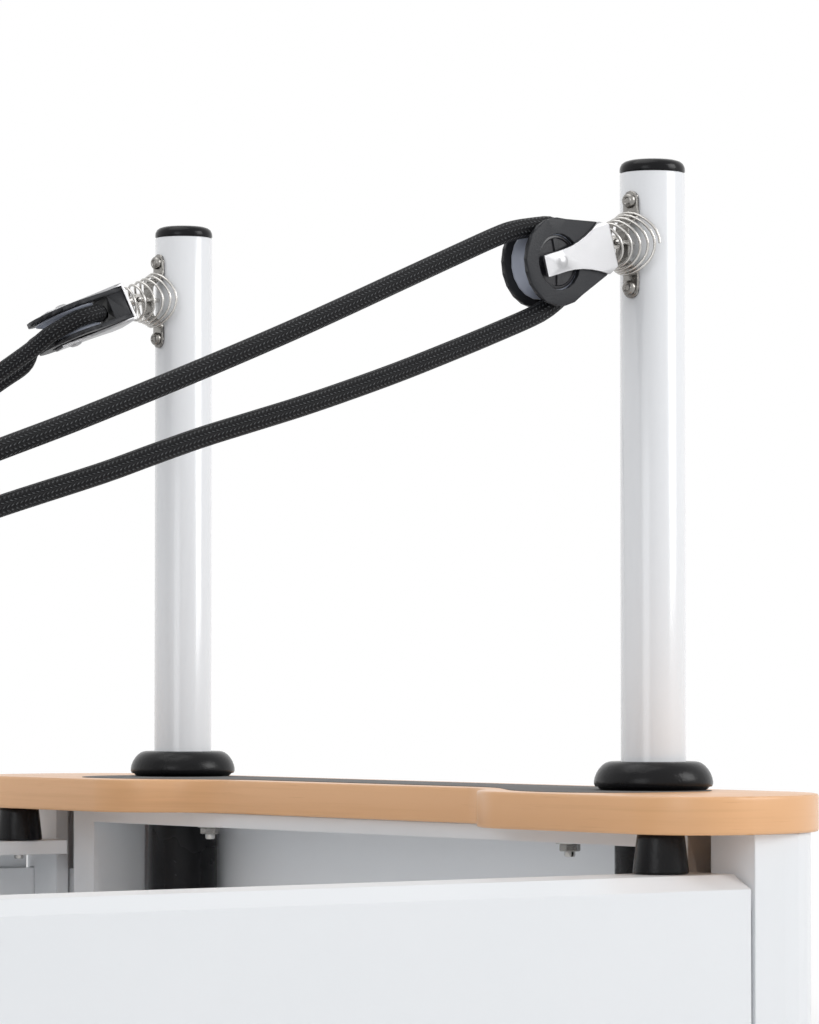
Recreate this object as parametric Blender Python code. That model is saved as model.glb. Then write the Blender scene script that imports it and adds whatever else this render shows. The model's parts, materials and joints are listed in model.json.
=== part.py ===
"""Folding pilates reformer, built piece by piece.

+X points to the head end, where the posts and pulleys stand. -Y is the near side.
The floor is z = 0, and the bed folds about a line across its middle at x = 0.
"""
import math

import bmesh
import bpy
from mathutils import Matrix, Vector

# Gaps that keep neighbouring pieces apart
seat_gap = 0.0003
running_gap = 0.0006

# Overall layout
bed_length = 2.294
post_to_end = 0.042
board_top = 0.330
board_thickness = 0.019
stand_height = 0.020
bar_front = 0.034

# Side rails, folded from sheet with a bevelled outer edge and inner lips
rail_outer = 0.335
rail_flange = 0.049
rail_height = 0.115
rail_wall = 0.003
rail_lip = 0.0084
rail_setback = 0.003
rail_bevel_width = 0.013
rail_bevel_height = 0.007

# Head platform board and its mat
board_half_width = 0.341
board_tab_front = 0.083
board_recess_front = 0.041
recess_half_width = 0.133
tab_inner_edge = 0.168
board_front_radius = 0.044
board_back_radius = 0.070
mat_inset = 0.016
mat_thickness = 0.0018
mat_half_length = 0.252
mat_front_radius = 0.040
mat_back_radius = 0.030
foot_board_depth = 0.120

# Posts
post_spacing = 0.434
post_radius = 0.017
post_wall = 0.002
post_rise = 0.322
post_foot = 0.135
cap_rise = 0.0067
cap_plug = 0.012
collar_radius = 0.031
collar_top_radius = 0.022
collar_height = 0.0148
sleeve_wall = 0.003
sleeve_floor = 0.003

# Rubber stands between the rails and the head board
cone_inset = 0.064
cone_rail_inset = 0.037
cone_foot_radius = 0.0140
cone_top_radius = 0.0119
stud_radius = 0.003
stud_depth = 0.010

# End frames: legs, cross bar and wrap-round covers
leg_width = 0.0223
leg_depth = 0.037
leg_wall = 0.002
leg_inner = 0.2615
foot_height = 0.022
foot_plug = 0.015
foot_margin = 0.003
bar_height = 0.0084
bar_back = 0.0215
tie_height = 0.110
tie_size = 0.020
tongue_length = 0.076
tongue_wall = 0.0045
tongue_web = 0.0092
tongue_web_wall = 0.004
tongue_margin = 0.018
cover_wall = 0.0025
cover_depth = 0.059
cover_radius = 0.039
cover_bottom = 0.150
cover_setback = -0.0005
cover_front_width = 0.033
cover_return = 0.0085

# Middle hinge
hinge_drop = 0.008
knuckle_radius = 0.009
knuckle_width = 0.012
knuckle_web = 0.022
hinge_pin_radius = 0.004
hinge_spread = 0.500
hinge_pin_head = 0.0065
mid_bar_depth = 0.040
mid_bar_height = 0.027

# Pulley blocks
bracket_rise = 0.2835
bracket_screw_spacing = 0.0454
bracket_width = 0.0092
bracket_bow_width = 0.008
bracket_length = 0.056
bracket_thickness = 0.0015
bow_reach = 0.0083
screw_head_radius = 0.0036
screw_shank_radius = 0.0017
ring_wire = 0.0026
ring_reach = 0.008
barrel_radius = 0.0036
stem_radius = 0.002
button_radius = 0.004
button_from_axle = 0.0302
button_thickness = 0.0016
head_block_from_axle = 0.0252
axle_to_head = 0.0374
head_to_pin = 0.0102
strap_thickness = 0.0015
cheek_radius = 0.0226
cheek_thickness = 0.0024
window_radius = 0.0145
sheave_width = 0.0138
sheave_radius = 0.0190
groove_radius = 0.0133
groove_play = 0.0007
block_axle_radius = 0.003
near_block_pose = (4.0, 16.4, 0.0)
near_bracket_turn = 12.0
near_leaving = (88, -74)
near_sag = (-0.0012, 0.0)
far_block_pose = (8.0, 21.0, -80.0)
far_bracket_turn = 0.0
far_leaving = (98, -84)
far_sag = (0.003, 0.003)

# Stand-up springs between the posts and the blocks
stand_wire = 0.0015
stand_curls = 5
stand_wide_radius = 0.0165
stand_narrow_radius = 0.0090
stand_saddle_side = 0.0160
stand_saddle_top = 0.0224
stand_crowding = 1.35

# Ropes
rope_radius = 0.00505

# Carriage
carriage_foot = -0.530
carriage_head = 0.345
carriage_travel = 0.660
frame_inner = 0.225
frame_tube = 0.030
wheel_radius = 0.020
wheel_flange_radius = 0.024
wheel_width = 0.024
wheel_flange_width = 0.004
wheel_inset = 0.070
stub_radius = 0.004
deck_half_width = 0.275
deck_thickness = 0.015
cushion_head = 0.095
cushion_thickness = 0.045
cushion_inset = 0.004
headrest_foot = 0.112
headrest_head = 0.335
headrest_half_width = 0.105
headrest_board_thickness = 0.010
headrest_cushion_thickness = 0.036
headrest_barrel = 0.005
headrest_pin_radius = 0.0019
headrest_board_half = 0.099
ear_thickness = 0.004
shoulder_x = 0.165
shoulder_y = 0.170
shoulder_width = 0.100
shoulder_thickness = 0.048
shoulder_height = 0.110
shoulder_post_radius = 0.009
shoulder_plate = 0.004
ring_x = 0.292
ring_y = 0.203
handle_ring_radius = 0.0095
handle_ring_wire = 0.004
webbing_width = 0.036
webbing_thickness = 0.0025
cleat_y = 0.238
lug_thickness = 0.006
lug_half = 0.012

# Springs under the carriage
spring_count = 3
spring_pitch = 0.110
spring_radius = 0.0125
spring_wire = 0.0040
spring_curls = 8
spring_tail = 0.085
spring_height = 0.262
spring_bar_x = -0.930
spring_bar_thickness = 0.006
spring_bar_height = 0.034

# Carriage stops on the rails
stop_thickness = 0.014
stop_inner = 0.236

# Foot bar
footbar_pivot_x = -0.740
footbar_pivot_z = 0.262
footbar_arm = 0.385
footbar_lean = 4.0
footbar_radius = 0.016
footbar_half_width = 0.262
footbar_bend = 0.060
footbar_stud_radius = 0.005
grip_radius = 0.022
grip_half_length = 0.185
plate_thickness = 0.006
plate_reach = 0.058
plate_weld = 0.045
index_radius = 0.048
index_hole_radius = 0.004
index_angles = (0.0, 26.0, 51.0, 76.0)
plunger_radius = 0.0037
plunger_knob_radius = 0.010

# Places that follow from the sizes above
post_x = bed_length / 2 - post_to_end
post_y = post_spacing / 2
board_bottom = board_top - board_thickness
rail_top = board_bottom - stand_height
rail_bottom = rail_top - rail_height
rail_inner = rail_outer - rail_flange
rail_end = post_x - bar_front - rail_setback
bracket_z = board_top + bracket_rise
rope_wrap_radius = groove_radius + groove_play + rope_radius
hinge_z = rail_bottom - hinge_drop
mid_bar_bottom = rail_bottom + rail_lip + seat_gap
sleeve_radius = post_radius + seat_gap + sleeve_wall
post_bottom = board_top - post_foot
wheel_axle_z = rail_top + seat_gap + wheel_radius
frame_bottom = board_bottom - 0.011
deck_bottom = frame_bottom + frame_tube + seat_gap
deck_top = deck_bottom + deck_thickness
cushion_bottom = deck_top + seat_gap
headrest_axis_z = deck_top + seat_gap + headrest_barrel
ring_z = deck_top + 0.0327
cleat_z = deck_top + 0.0167


def clear_scene():
    """Empty the file, so that the script builds the same model each time."""
    for obj in list(bpy.data.objects):
        bpy.data.objects.remove(obj, do_unlink=True)


def material(name, colour, roughness, metallic=0.0):
    """A Principled material of one colour."""
    finish = bpy.data.materials.get(name)
    if finish is None:
        finish = bpy.data.materials.new(name)
        finish.use_nodes = True
        shader = finish.node_tree.nodes["Principled BSDF"]
        shader.inputs["Base Color"].default_value = (*colour, 1.0)
        shader.inputs["Roughness"].default_value = roughness
        shader.inputs["Metallic"].default_value = metallic
        finish.diffuse_color = (*colour, 1.0)
    return finish


def white_paint():
    return material("white_paint", (0.86, 0.87, 0.88), 0.30)


def black_rubber():
    return material("black_rubber", (0.02, 0.02, 0.022), 0.35)


def black_plastic():
    return material("black_plastic", (0.03, 0.03, 0.033), 0.25)


def grey_plastic():
    return material("grey_plastic", (0.10, 0.10, 0.11), 0.45)


def steel():
    return material("steel", (0.62, 0.60, 0.57), 0.22, 1.0)


def beech():
    return material("beech", (0.72, 0.45, 0.23), 0.45)


def mat_grey():
    return material("mat_grey", (0.30, 0.29, 0.28), 0.85)


def vinyl():
    return material("vinyl", (0.12, 0.12, 0.13), 0.50)


def cord_black():
    return material("cord_black", (0.015, 0.015, 0.017), 0.70)


def webbing():
    return material("webbing", (0.05, 0.05, 0.055), 0.85)


# Pivots: empties on the joint axes that carry the moving pieces
pivots = {}


def pivot(name, place, parent=None):
    """An empty on a joint's axis. Its children are modelled in world coordinates."""
    empty = bpy.data.objects.new("pivot_" + name, None)
    bpy.context.collection.objects.link(empty)
    place = Vector(place)
    pivots[name] = place
    if parent:
        empty.parent = bpy.data.objects["pivot_" + parent]
        empty.location = place - pivots[parent]
    else:
        empty.location = place
    return empty


def hang(obj, pivot_name):
    """Give an object its joint's pivot as origin, without moving it."""
    if pivot_name:
        obj.data.transform(Matrix.Translation(-pivots[pivot_name]))
        obj.parent = bpy.data.objects["pivot_" + pivot_name]
    return obj


def solid(name, bm, finish, pivot_name=None, sharp=35):
    """Turn a bmesh into a named, smooth-shaded object."""
    bmesh.ops.recalc_face_normals(bm, faces=bm.faces)
    mesh = bpy.data.meshes.new(name)
    bm.to_mesh(mesh)
    bm.free()
    mesh.materials.append(finish)
    mesh.shade_smooth()
    mesh.set_sharp_from_angle(angle=math.radians(sharp))
    obj = bpy.data.objects.new(name, mesh)
    bpy.context.collection.objects.link(obj)
    return hang(obj, pivot_name)


def tool(name, bm, pivot_name=None):
    """A solid that only cuts or joins others and isn't a piece itself."""
    obj = solid(name, bm, grey_plastic(), pivot_name)
    obj.hide_render = True
    obj.display_type = "WIRE"
    return obj


def combine(obj, bm, operation, pivot_name=None):
    """Cut a shape out of an object, or join it on, with a Boolean modifier."""
    number = len(obj.modifiers) + 1
    other = tool(f"tool_{obj.name}_{number}", bm, pivot_name)
    step = obj.modifiers.new(f"{operation.lower()}_{number}", "BOOLEAN")
    step.operation = operation
    step.object = other
    step.solver = "EXACT"


def cut(obj, bm, pivot_name=None):
    combine(obj, bm, "DIFFERENCE", pivot_name)


def join(obj, bm, pivot_name=None):
    combine(obj, bm, "UNION", pivot_name)


# Outlines

def arc(centre, radius, start, end, steps):
    """Points of an arc, in degrees, ends included."""
    points = []
    for i in range(steps + 1):
        angle = math.radians(start + (end - start) * i / steps)
        points.append((centre[0] + radius * math.cos(angle), centre[1] + radius * math.sin(angle)))
    return points


def rounded(corners, steps=6, closed=True):
    """A path of (x, y, radius) corners with each corner turned into an arc."""
    points = []
    count = len(corners)
    for i, (x, y, radius) in enumerate(corners):
        if radius == 0 or (not closed and i in (0, count - 1)):
            points.append((x, y))
            continue
        here = Vector((x, y))
        back = (Vector(corners[i - 1][:2]) - here).normalized()
        ahead = (Vector(corners[(i + 1) % count][:2]) - here).normalized()
        half = back.angle(ahead) / 2
        centre = here + (back + ahead).normalized() * (radius / math.sin(half))
        first = here + back * (radius / math.tan(half)) - centre
        last = here + ahead * (radius / math.tan(half)) - centre
        turn = first.angle_signed(last)
        for k in range(steps + 1):
            angle = -turn * k / steps
            c, s = math.cos(angle), math.sin(angle)
            points.append((centre.x + first.x * c - first.y * s, centre.y + first.x * s + first.y * c))
    return points


def walled(path, wall):
    """The closed outline of a sheet that follows an open path, thickened to its left."""
    inner = []
    for i, point in enumerate(path):
        here = Vector(point)
        normals = []
        if i > 0:
            along = (here - Vector(path[i - 1])).normalized()
            normals.append(Vector((-along.y, along.x)))
        if i < len(path) - 1:
            along = (Vector(path[i + 1]) - here).normalized()
            normals.append(Vector((-along.y, along.x)))
        normal = sum(normals, Vector((0, 0))).normalized()
        inner.append(tuple(here + normal * (wall / normal.dot(normals[0]))))
    return list(path) + inner[::-1]


def outset(loop, distance):
    """A closed loop of points moved outwards along its own normals."""
    moved = []
    for i, point in enumerate(loop):
        along = (Vector(loop[(i + 1) % len(loop)]) - Vector(loop[i - 1])).normalized()
        moved.append(tuple(Vector(point) + Vector((along.y, -along.x)) * distance))
    return moved


# Solids

def prism(bm, outline, plane, low, high):
    """Extrude a closed outline in plane xy, xz or yz along the third axis."""
    def corner(u, v, w):
        return {"xy": (u, v, w), "xz": (u, w, v), "yz": (w, u, v)}[plane]
    bottom = [bm.verts.new(corner(u, v, low)) for u, v in outline]
    top = [bm.verts.new(corner(u, v, high)) for u, v in outline]
    count = len(outline)
    for i in range(count):
        j = (i + 1) % count
        bm.faces.new((bottom[i], bottom[j], top[j], top[i]))
    bm.faces.new(bottom[::-1])
    bm.faces.new(top)
    return bm


def slab(bm, outline, base, across, up, through, low, high):
    """Extrude an outline drawn on two free directions along a third one."""
    def corner(u, v, w):
        return base + across * u + up * v + through * w
    bottom = [bm.verts.new(corner(u, v, low)) for u, v in outline]
    top = [bm.verts.new(corner(u, v, high)) for u, v in outline]
    count = len(outline)
    for i in range(count):
        j = (i + 1) % count
        bm.faces.new((bottom[i], bottom[j], top[j], top[i]))
    bm.faces.new(bottom[::-1])
    bm.faces.new(top)
    return bm


def box(bm, low, high):
    """A block between two corners."""
    return prism(bm, [(low[0], low[1]), (high[0], low[1]), (high[0], high[1]), (low[0], high[1])],
                 "xy", low[2], high[2])


def turned(bm, profile, centre, axis, segments=20):
    """Turn (radius, height) points about an axis. A profile off the axis makes a ring."""
    axis = Vector(axis).normalized()
    centre = Vector(centre)
    side = axis.orthogonal().normalized()
    other = axis.cross(side)
    rings = []
    for radius, height in profile:
        if radius == 0:
            rings.append([bm.verts.new(centre + axis * height)])
            continue
        ring = []
        for i in range(segments):
            angle = 2 * math.pi * i / segments
            spoke = side * math.cos(angle) + other * math.sin(angle)
            ring.append(bm.verts.new(centre + axis * height + spoke * radius))
        rings.append(ring)
    pairs = list(zip(rings, rings[1:]))
    if profile[0][0] > 0:
        pairs.append((rings[-1], rings[0]))
    for one, two in pairs:
        for i in range(segments):
            j = (i + 1) % segments
            corners = [one[i % len(one)], one[j % len(one)], two[j % len(two)], two[i % len(two)]]
            face = []
            for corner in corners:
                if corner not in face:
                    face.append(corner)
            if len(face) > 2:
                bm.faces.new(face)
    return bm


def rod(bm, start, end, radius, segments=12):
    """A plain round bar between two points."""
    start, end = Vector(start), Vector(end)
    length = (end - start).length
    return turned(bm, [(0, 0), (radius, 0), (radius, length), (0, length)], start, end - start, segments)


def ring(bm, centre, axis, inner, outer, low, high, segments=20):
    """A plain round ring."""
    return turned(bm, [(inner, low), (outer, low), (outer, high), (inner, high)], centre, axis, segments)


def smooth_line(points, spacing):
    """Points on a smooth curve through the given ones, about this far apart."""
    points = [Vector(p) for p in points]
    ends = [points[0] * 2 - points[1]] + points + [points[-1] * 2 - points[-2]]
    line = []
    for i in range(1, len(ends) - 2):
        a, b, c, d = ends[i - 1:i + 3]
        steps = max(1, round((c - b).length / spacing))
        for k in range(steps):
            t = k / steps
            line.append(0.5 * (2 * b + (c - a) * t + (2 * a - 5 * b + 4 * c - d) * t * t
                               + (3 * b - a - 3 * c + d) * t * t * t))
    line.append(points[-1])
    return line


def tube(name, lines, radius, finish, resolution=2, pivot_name=None, cyclic=False):
    """Round bars along lists of points: a curve with a bevel and filled ends."""
    curve = bpy.data.curves.new(name, "CURVE")
    curve.dimensions = "3D"
    curve.bevel_depth = radius
    curve.bevel_resolution = resolution
    curve.use_fill_caps = not cyclic
    for points in lines:
        spline = curve.splines.new("POLY")
        spline.points.add(len(points) - 1)
        for slot, point in zip(spline.points, points):
            slot.co = (*point, 1.0)
        spline.use_cyclic_u = cyclic
    curve.materials.append(finish)
    obj = bpy.data.objects.new(name, curve)
    bpy.context.collection.objects.link(obj)
    return hang(obj, pivot_name)


def as_mesh(obj):
    """Swap a curve object for a mesh one of the same name, which modifiers can cut."""
    mesh = bpy.data.meshes.new_from_object(obj)
    name, parent = obj.name, obj.parent
    bpy.data.objects.remove(obj, do_unlink=True)
    mesh.name = name
    swapped = bpy.data.objects.new(name, mesh)
    bpy.context.collection.objects.link(swapped)
    swapped.parent = parent
    return swapped


def line_length(points):
    return sum((Vector(q) - Vector(p)).length for p, q in zip(points, points[1:]))


# Rails

def rail_section(side):
    """The C-shaped section of a side rail, lips inwards."""
    path = [(rail_inner, rail_bottom + rail_lip), (rail_inner, rail_bottom),
            (rail_outer - rail_bevel_width, rail_bottom), (rail_outer, rail_bottom + rail_bevel_height),
            (rail_outer, rail_top - rail_bevel_height), (rail_outer - rail_bevel_width, rail_top),
            (rail_inner, rail_top), (rail_inner, rail_top - rail_lip)]
    return [(side * y, z) for y, z in walled(path, rail_wall)]


def build_rails():
    """Four half rails: two on the head half, two on the half that folds."""
    for side, word in ((-1, "near"), (1, "far")):
        head = solid(f"head_rail_{word}", prism(bmesh.new(), rail_section(side), "yz",
                                                seat_gap, rail_end), white_paint())
        hole = rod(bmesh.new(), (cone_x, side * cone_y, rail_top - 2 * rail_wall),
                   (cone_x, side * cone_y, rail_top + rail_wall), stud_radius + seat_gap, 12)
        cut(head, hole)
        foot = solid(f"foot_rail_{word}", prism(bmesh.new(), rail_section(side), "yz",
                                                -rail_end, -seat_gap), white_paint(), "fold")
        weld_carriage_stop(foot, side)
        weld_footbar_plate(foot, side)


def weld_carriage_stop(rail, side):
    """A lug on the rail's flange that the carriage's foot end rests against."""
    y0, y1 = sorted((side * stop_inner, side * (rail_inner + rail_lip)))
    face = carriage_foot - seat_gap
    join(rail, box(bmesh.new(), (face - stop_thickness, y0, rail_top - rail_wall / 2),
                   (face, y1, frame_bottom + frame_tube - 2 * seat_gap)), "fold")


def weld_footbar_plate(rail, side):
    """A plate with the foot bar's pivot stud and, on the near side, its index holes."""
    outline = [(footbar_pivot_x - plate_reach, rail_bottom + rail_wall),
               (footbar_pivot_x + plate_reach, rail_bottom + rail_wall)]
    outline += arc((footbar_pivot_x, footbar_pivot_z), plate_reach, 0, 180, 12)
    join(rail, prism(bmesh.new(), outline, "xz", *sorted((side * plate_face, side * rail_inner))), "fold")
    y0, y1 = sorted((side * (plate_face + rail_wall / 3), side * (rail_inner + rail_wall / 3)))
    for low, high in ((rail_bottom + 1.5 * rail_wall, rail_bottom + rail_lip),
                      (rail_top - rail_lip, rail_top - rail_wall / 2)):
        join(rail, box(bmesh.new(), (footbar_pivot_x - plate_weld, y0, low),
                       (footbar_pivot_x + plate_weld, y1, high)), "fold")
    if side < 0:
        holes = bmesh.new()
        for angle in index_angles:
            x, z = index_spot(angle)
            rod(holes, (x, side * (plate_face - 0.01), z), (x, side * (rail_inner + 0.01), z),
                index_hole_radius, 10)
        cut(rail, holes, "fold")
    arm_inner = footbar_half_width - footbar_radius - seat_gap
    stud = turned(bmesh.new(), [(0, plate_face + 0.003), (footbar_stud_radius, plate_face + 0.003),
                                (footbar_stud_radius, arm_inner), (0.009, arm_inner),
                                (0.009, arm_inner - 0.005), (0, arm_inner - 0.005)],
                  (footbar_pivot_x, 0, footbar_pivot_z), (0, side, 0), 16)
    join(rail, stud, "fold")


# Boards

def head_board_outline(inset, side, front_radius, back_radius):
    """Head platform or its mat from above: two front tabs, an S-shaped recess, round corners."""
    tab = post_x - board_tab_front + inset
    recess = post_x - board_recess_front + inset
    back = bed_length / 2 - inset
    half = [(recess, 0.0)]
    steps = 8
    for i in range(steps + 1):
        share = i / steps
        ease = (1 - math.cos(math.pi * share)) / 2
        spread = (tab_inner_edge - recess_half_width + 2 * inset) * share
        half.append((recess + (tab - recess) * ease, recess_half_width - inset + spread))
    corners = [(half[-1][0], half[-1][1], 0), (tab, side, front_radius),
               (back, side, back_radius), (back, 0.0, 0)]
    half += rounded(corners, steps=5, closed=False)[1:]
    other = [(x, -y) for x, y in reversed(half) if y > 0]
    return half + other


def foot_board_outline():
    """Foot platform: a plain rounded board."""
    out = -bed_length / 2
    inner = out + foot_board_depth
    side = board_half_width
    corners = [(out, -side, board_back_radius), (inner, -side, board_front_radius),
               (inner, side, board_front_radius), (out, side, board_back_radius)]
    return rounded(corners, steps=6)


def build_boards():
    """Wooden platforms and the grip mat let into the head one's top."""
    outline = head_board_outline(0.0, board_half_width, board_front_radius, board_back_radius)
    board = solid("platform_board", prism(bmesh.new(), outline, "xy", board_bottom, board_top), beech())
    low = board_top + seat_gap - mat_thickness
    outline = head_board_outline(mat_inset - seat_gap, mat_half_length + seat_gap, mat_front_radius,
                                 mat_back_radius)
    cut(board, prism(bmesh.new(), outline, "xy", low - seat_gap, board_top + 0.01))
    holes = bmesh.new()
    for side in (-1, 1):
        rod(holes, (post_x, side * post_y, board_bottom - 0.01), (post_x, side * post_y, board_top + 0.01),
            sleeve_radius + seat_gap, 20)
        rod(holes, (cone_x, side * cone_y, board_bottom - 0.01),
            (cone_x, side * cone_y, board_bottom + stud_depth), stud_radius + seat_gap, 12)
    cut(board, holes)
    outline = head_board_outline(mat_inset, mat_half_length, mat_front_radius, mat_back_radius)
    mat = solid("platform_mat", prism(bmesh.new(), outline, "xy", low, low + mat_thickness), mat_grey())
    holes = bmesh.new()
    for side in (-1, 1):
        rod(holes, (post_x, side * post_y, low - 0.01), (post_x, side * post_y, low + 0.01),
            collar_radius + seat_gap, 20)
    cut(mat, holes)
    bm = prism(bmesh.new(), foot_board_outline(), "xy", board_bottom, board_top)
    solid("foot_board", bm, beech(), "fold")


def build_cones():
    """Tapered rubber stands, wide end on the rail, with a stud out of each end."""
    height = stand_height - 2 * seat_gap
    reach = height + seat_gap + stud_depth - 2 * seat_gap
    for side, word in ((-1, "near"), (1, "far")):
        bm = turned(bmesh.new(), [(0, -2.5 * rail_wall), (stud_radius, -2.5 * rail_wall), (stud_radius, 0),
                                  (cone_foot_radius, 0), (cone_foot_radius, 0.002),
                                  (cone_top_radius, height), (stud_radius, height), (stud_radius, reach),
                                  (0, reach)], (cone_x, side * cone_y, rail_top + seat_gap), (0, 0, 1), 16)
        solid(f"platform_cone_{word}", bm, black_rubber())


# Posts

def build_posts():
    """White tubes in black sockets through the board, with domed caps."""
    post_top = board_top + post_rise
    inner = post_radius - post_wall
    for side, word in ((-1, "near"), (1, "far")):
        place = (post_x, side * post_y, 0)
        bm = ring(bmesh.new(), place, (0, 0, 1), inner, post_radius, post_bottom, post_top, 22)
        post = solid(f"post_{word}", bm, white_paint())
        holes = bmesh.new()
        block = near_block if side < 0 else far_block
        for step in (-1, 1):
            height = bracket_z + step * bracket_screw_spacing / 2
            rod(holes, block.turned(-post_radius - 0.01, 0, height), block.turned(0, 0, height),
                screw_shank_radius + seat_gap, 8)
        cut(post, holes)
        plug = inner - seat_gap
        rim = post_top + seat_gap
        dome = [(post_radius * math.cos(math.radians(a)), rim + cap_rise * math.sin(math.radians(a)))
                for a in (0, 35, 70)]
        bm = turned(bmesh.new(), [(0, rim - cap_plug), (plug, rim - cap_plug), (plug, rim)] + dome
                    + [(0, rim + cap_rise)], place, (0, 0, 1), 24)
        solid(f"post_cap_{word}", bm, black_plastic())
        low = board_top + seat_gap
        bore = post_radius + seat_gap
        swell = collar_radius - collar_top_radius
        foot = 0.003
        slope = [(collar_top_radius + swell * math.cos(math.radians(a)),
                  low + foot + (collar_height - foot) * math.sin(math.radians(a)))
                 for a in (0, 40, 75)]
        bottom = post_bottom - seat_gap - sleeve_floor
        bm = turned(bmesh.new(), [(0, bottom), (sleeve_radius, bottom), (sleeve_radius, low),
                                  (collar_radius - foot / 2, low)] + slope
                    + [(collar_top_radius, low + collar_height), (bore, low + collar_height),
                       (bore, bottom + sleeve_floor), (0, bottom + sleeve_floor)], place, (0, 0, 1), 18)
        solid(f"post_socket_{word}", bm, black_plastic())


# End frames

def build_end(end, word, pivot_name):
    """Legs, cross bar, tie and rail tongues of one end, with its cover and rubber feet."""
    front, back = post_x - bar_front, post_x - bar_front + leg_depth
    bar_top = board_bottom - seat_gap

    def block(bm, x0, x1, y0, y1, z0, z1):
        x0, x1 = sorted((end * x0, end * x1))
        y0, y1 = sorted((y0, y1))
        return box(bm, (x0, y0, z0), (x1, y1, z1))

    bm = block(bmesh.new(), front, post_x + bar_back, -leg_inner - 0.001, leg_inner + 0.001,
               bar_top - bar_height, bar_top)
    frame = solid(f"{word}_leg_frame", bm, white_paint(), pivot_name)
    for side in (-1, 1):
        join(frame, block(bmesh.new(), front, back, side * leg_inner, side * (leg_inner + leg_width),
                          foot_height, bar_top), pivot_name)
    tie_front = front + (leg_depth - tie_size) / 2
    join(frame, block(bmesh.new(), tie_front, tie_front + tie_size, -leg_inner - 0.001,
                      leg_inner + 0.001, tie_height - tie_size / 2, tie_height + tie_size / 2), pivot_name)
    low, high = rail_bottom + tongue_margin, rail_top - tongue_margin
    web, web_back = front + tongue_web, front + tongue_web + tongue_web_wall
    face = rail_outer - rail_wall - seat_gap
    for side in (-1, 1):
        reach = face if end > 0 else rail_outer - rail_wall / 2
        join(frame, block(bmesh.new(), web, web_back, side * (leg_inner + leg_width - 0.001), side * reach,
                          low, high), pivot_name)
        join(frame, block(bmesh.new(), front - tongue_length, web_back - 0.0005, side * (face - tongue_wall),
                          side * (face - 0.00001), low + 0.0001, high - 0.0001), pivot_name)
    holes = bmesh.new()
    for side in (-1, 1):
        block(holes, front + leg_wall, back - leg_wall, side * (leg_inner + leg_wall),
              side * (leg_inner + leg_width - leg_wall), foot_height - 0.01, bar_top - bar_height - leg_wall)
        if end > 0:
            rod(holes, (post_x, side * post_y, bar_top - 0.02), (post_x, side * post_y, bar_top + 0.02),
                sleeve_radius + seat_gap, 20)
    cut(frame, holes, pivot_name)

    edge = end * (post_x - bar_front + cover_setback)
    wall = edge + end * cover_depth
    lip, folded = edge + end * cover_return, rail_outer - cover_front_width
    corners = [(lip, -folded, 0), (edge, -folded, 0), (edge, -rail_outer, 0),
               (wall, -rail_outer, cover_radius),
               (wall, rail_outer, cover_radius), (edge, rail_outer, 0), (edge, folded, 0), (lip, folded, 0)]
    if end < 0:
        corners.reverse()
    path = rounded(corners, steps=6, closed=False)
    cover = prism(bmesh.new(), walled(path, cover_wall), "xy", cover_bottom, bar_top)
    if end > 0:
        cover = solid(f"{word}_cover", cover, white_paint())
        slots = bmesh.new()
        for side in (-1, 1):
            block(slots, edge - 0.001, edge + cover_wall + 0.0005, side * (face - tongue_wall - seat_gap),
                  side * (rail_outer - cover_wall), low - seat_gap, high + seat_gap)
        cut(cover, slots)
    else:
        join(frame, cover, pivot_name)

    fit = leg_wall + seat_gap
    for side, place in ((-1, "near"), (1, "far")):
        pad = block(bmesh.new(), front - foot_margin, back + foot_margin, side * (leg_inner - foot_margin),
                    side * (leg_inner + leg_width + foot_margin), 0.0, foot_height - seat_gap)
        pad = solid(f"{word}_foot_{place}", pad, black_rubber(), pivot_name)
        join(pad, block(bmesh.new(), front + fit, back - fit, side * (leg_inner + fit),
                        side * (leg_inner + leg_width - fit), foot_height / 2, foot_height + foot_plug),
             pivot_name)


# Middle hinge

def build_middle():
    """Bars across the bed at the fold, their hinge knuckles and the rod through them."""
    reach = rail_outer - rail_wall - seat_gap
    top = mid_bar_bottom + mid_bar_height
    web_top = mid_bar_bottom + mid_bar_height / 2
    for end, word, pivot_name in ((1, "head", None), (-1, "foot", "fold")):
        x0, x1 = sorted((end * seat_gap, end * mid_bar_depth))
        bar = solid(f"{word}_hinge_bar", box(bmesh.new(), (x0, -reach, mid_bar_bottom), (x1, reach, top)),
                    white_paint(), pivot_name)
        spots = (-1, 1) if end > 0 else (0,)
        knuckles = bmesh.new()
        for side in (-1, 1):
            for spot in spots:
                middle = side * hinge_spread / 2 + spot * (knuckle_width + seat_gap)
                path = [(seat_gap, web_top), (knuckle_web, web_top), (knuckle_web, hinge_z)]
                path += arc((0, hinge_z), knuckle_radius, -30, -270, 6)
                path.append((seat_gap, hinge_z + knuckle_radius))
                path = [(end * x, z) for x, z in path]
                prism(knuckles, path, "xz", middle - knuckle_width / 2, middle + knuckle_width / 2)
        join(bar, knuckles, pivot_name)
        bores = bmesh.new()
        for side in (-1, 1):
            rod(bores, (0, side * hinge_spread / 2 - 0.04, hinge_z),
                (0, side * hinge_spread / 2 + 0.04, hinge_z), hinge_pin_radius + seat_gap, 10)
        cut(bar, bores, pivot_name)
    half = hinge_spread / 2 + 1.5 * knuckle_width + 2 * seat_gap
    bm = turned(bmesh.new(), [(0, -half - 0.003), (hinge_pin_head, -half - 0.003), (hinge_pin_head, -half),
                              (hinge_pin_radius, -half), (hinge_pin_radius, half), (hinge_pin_head, half),
                              (hinge_pin_head, half + 0.003), (0, half + 0.003)],
                (0, 0, hinge_z), (0, 1, 0), 12)
    solid("hinge_rod", bm, steel())


# Pulleys

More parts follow.
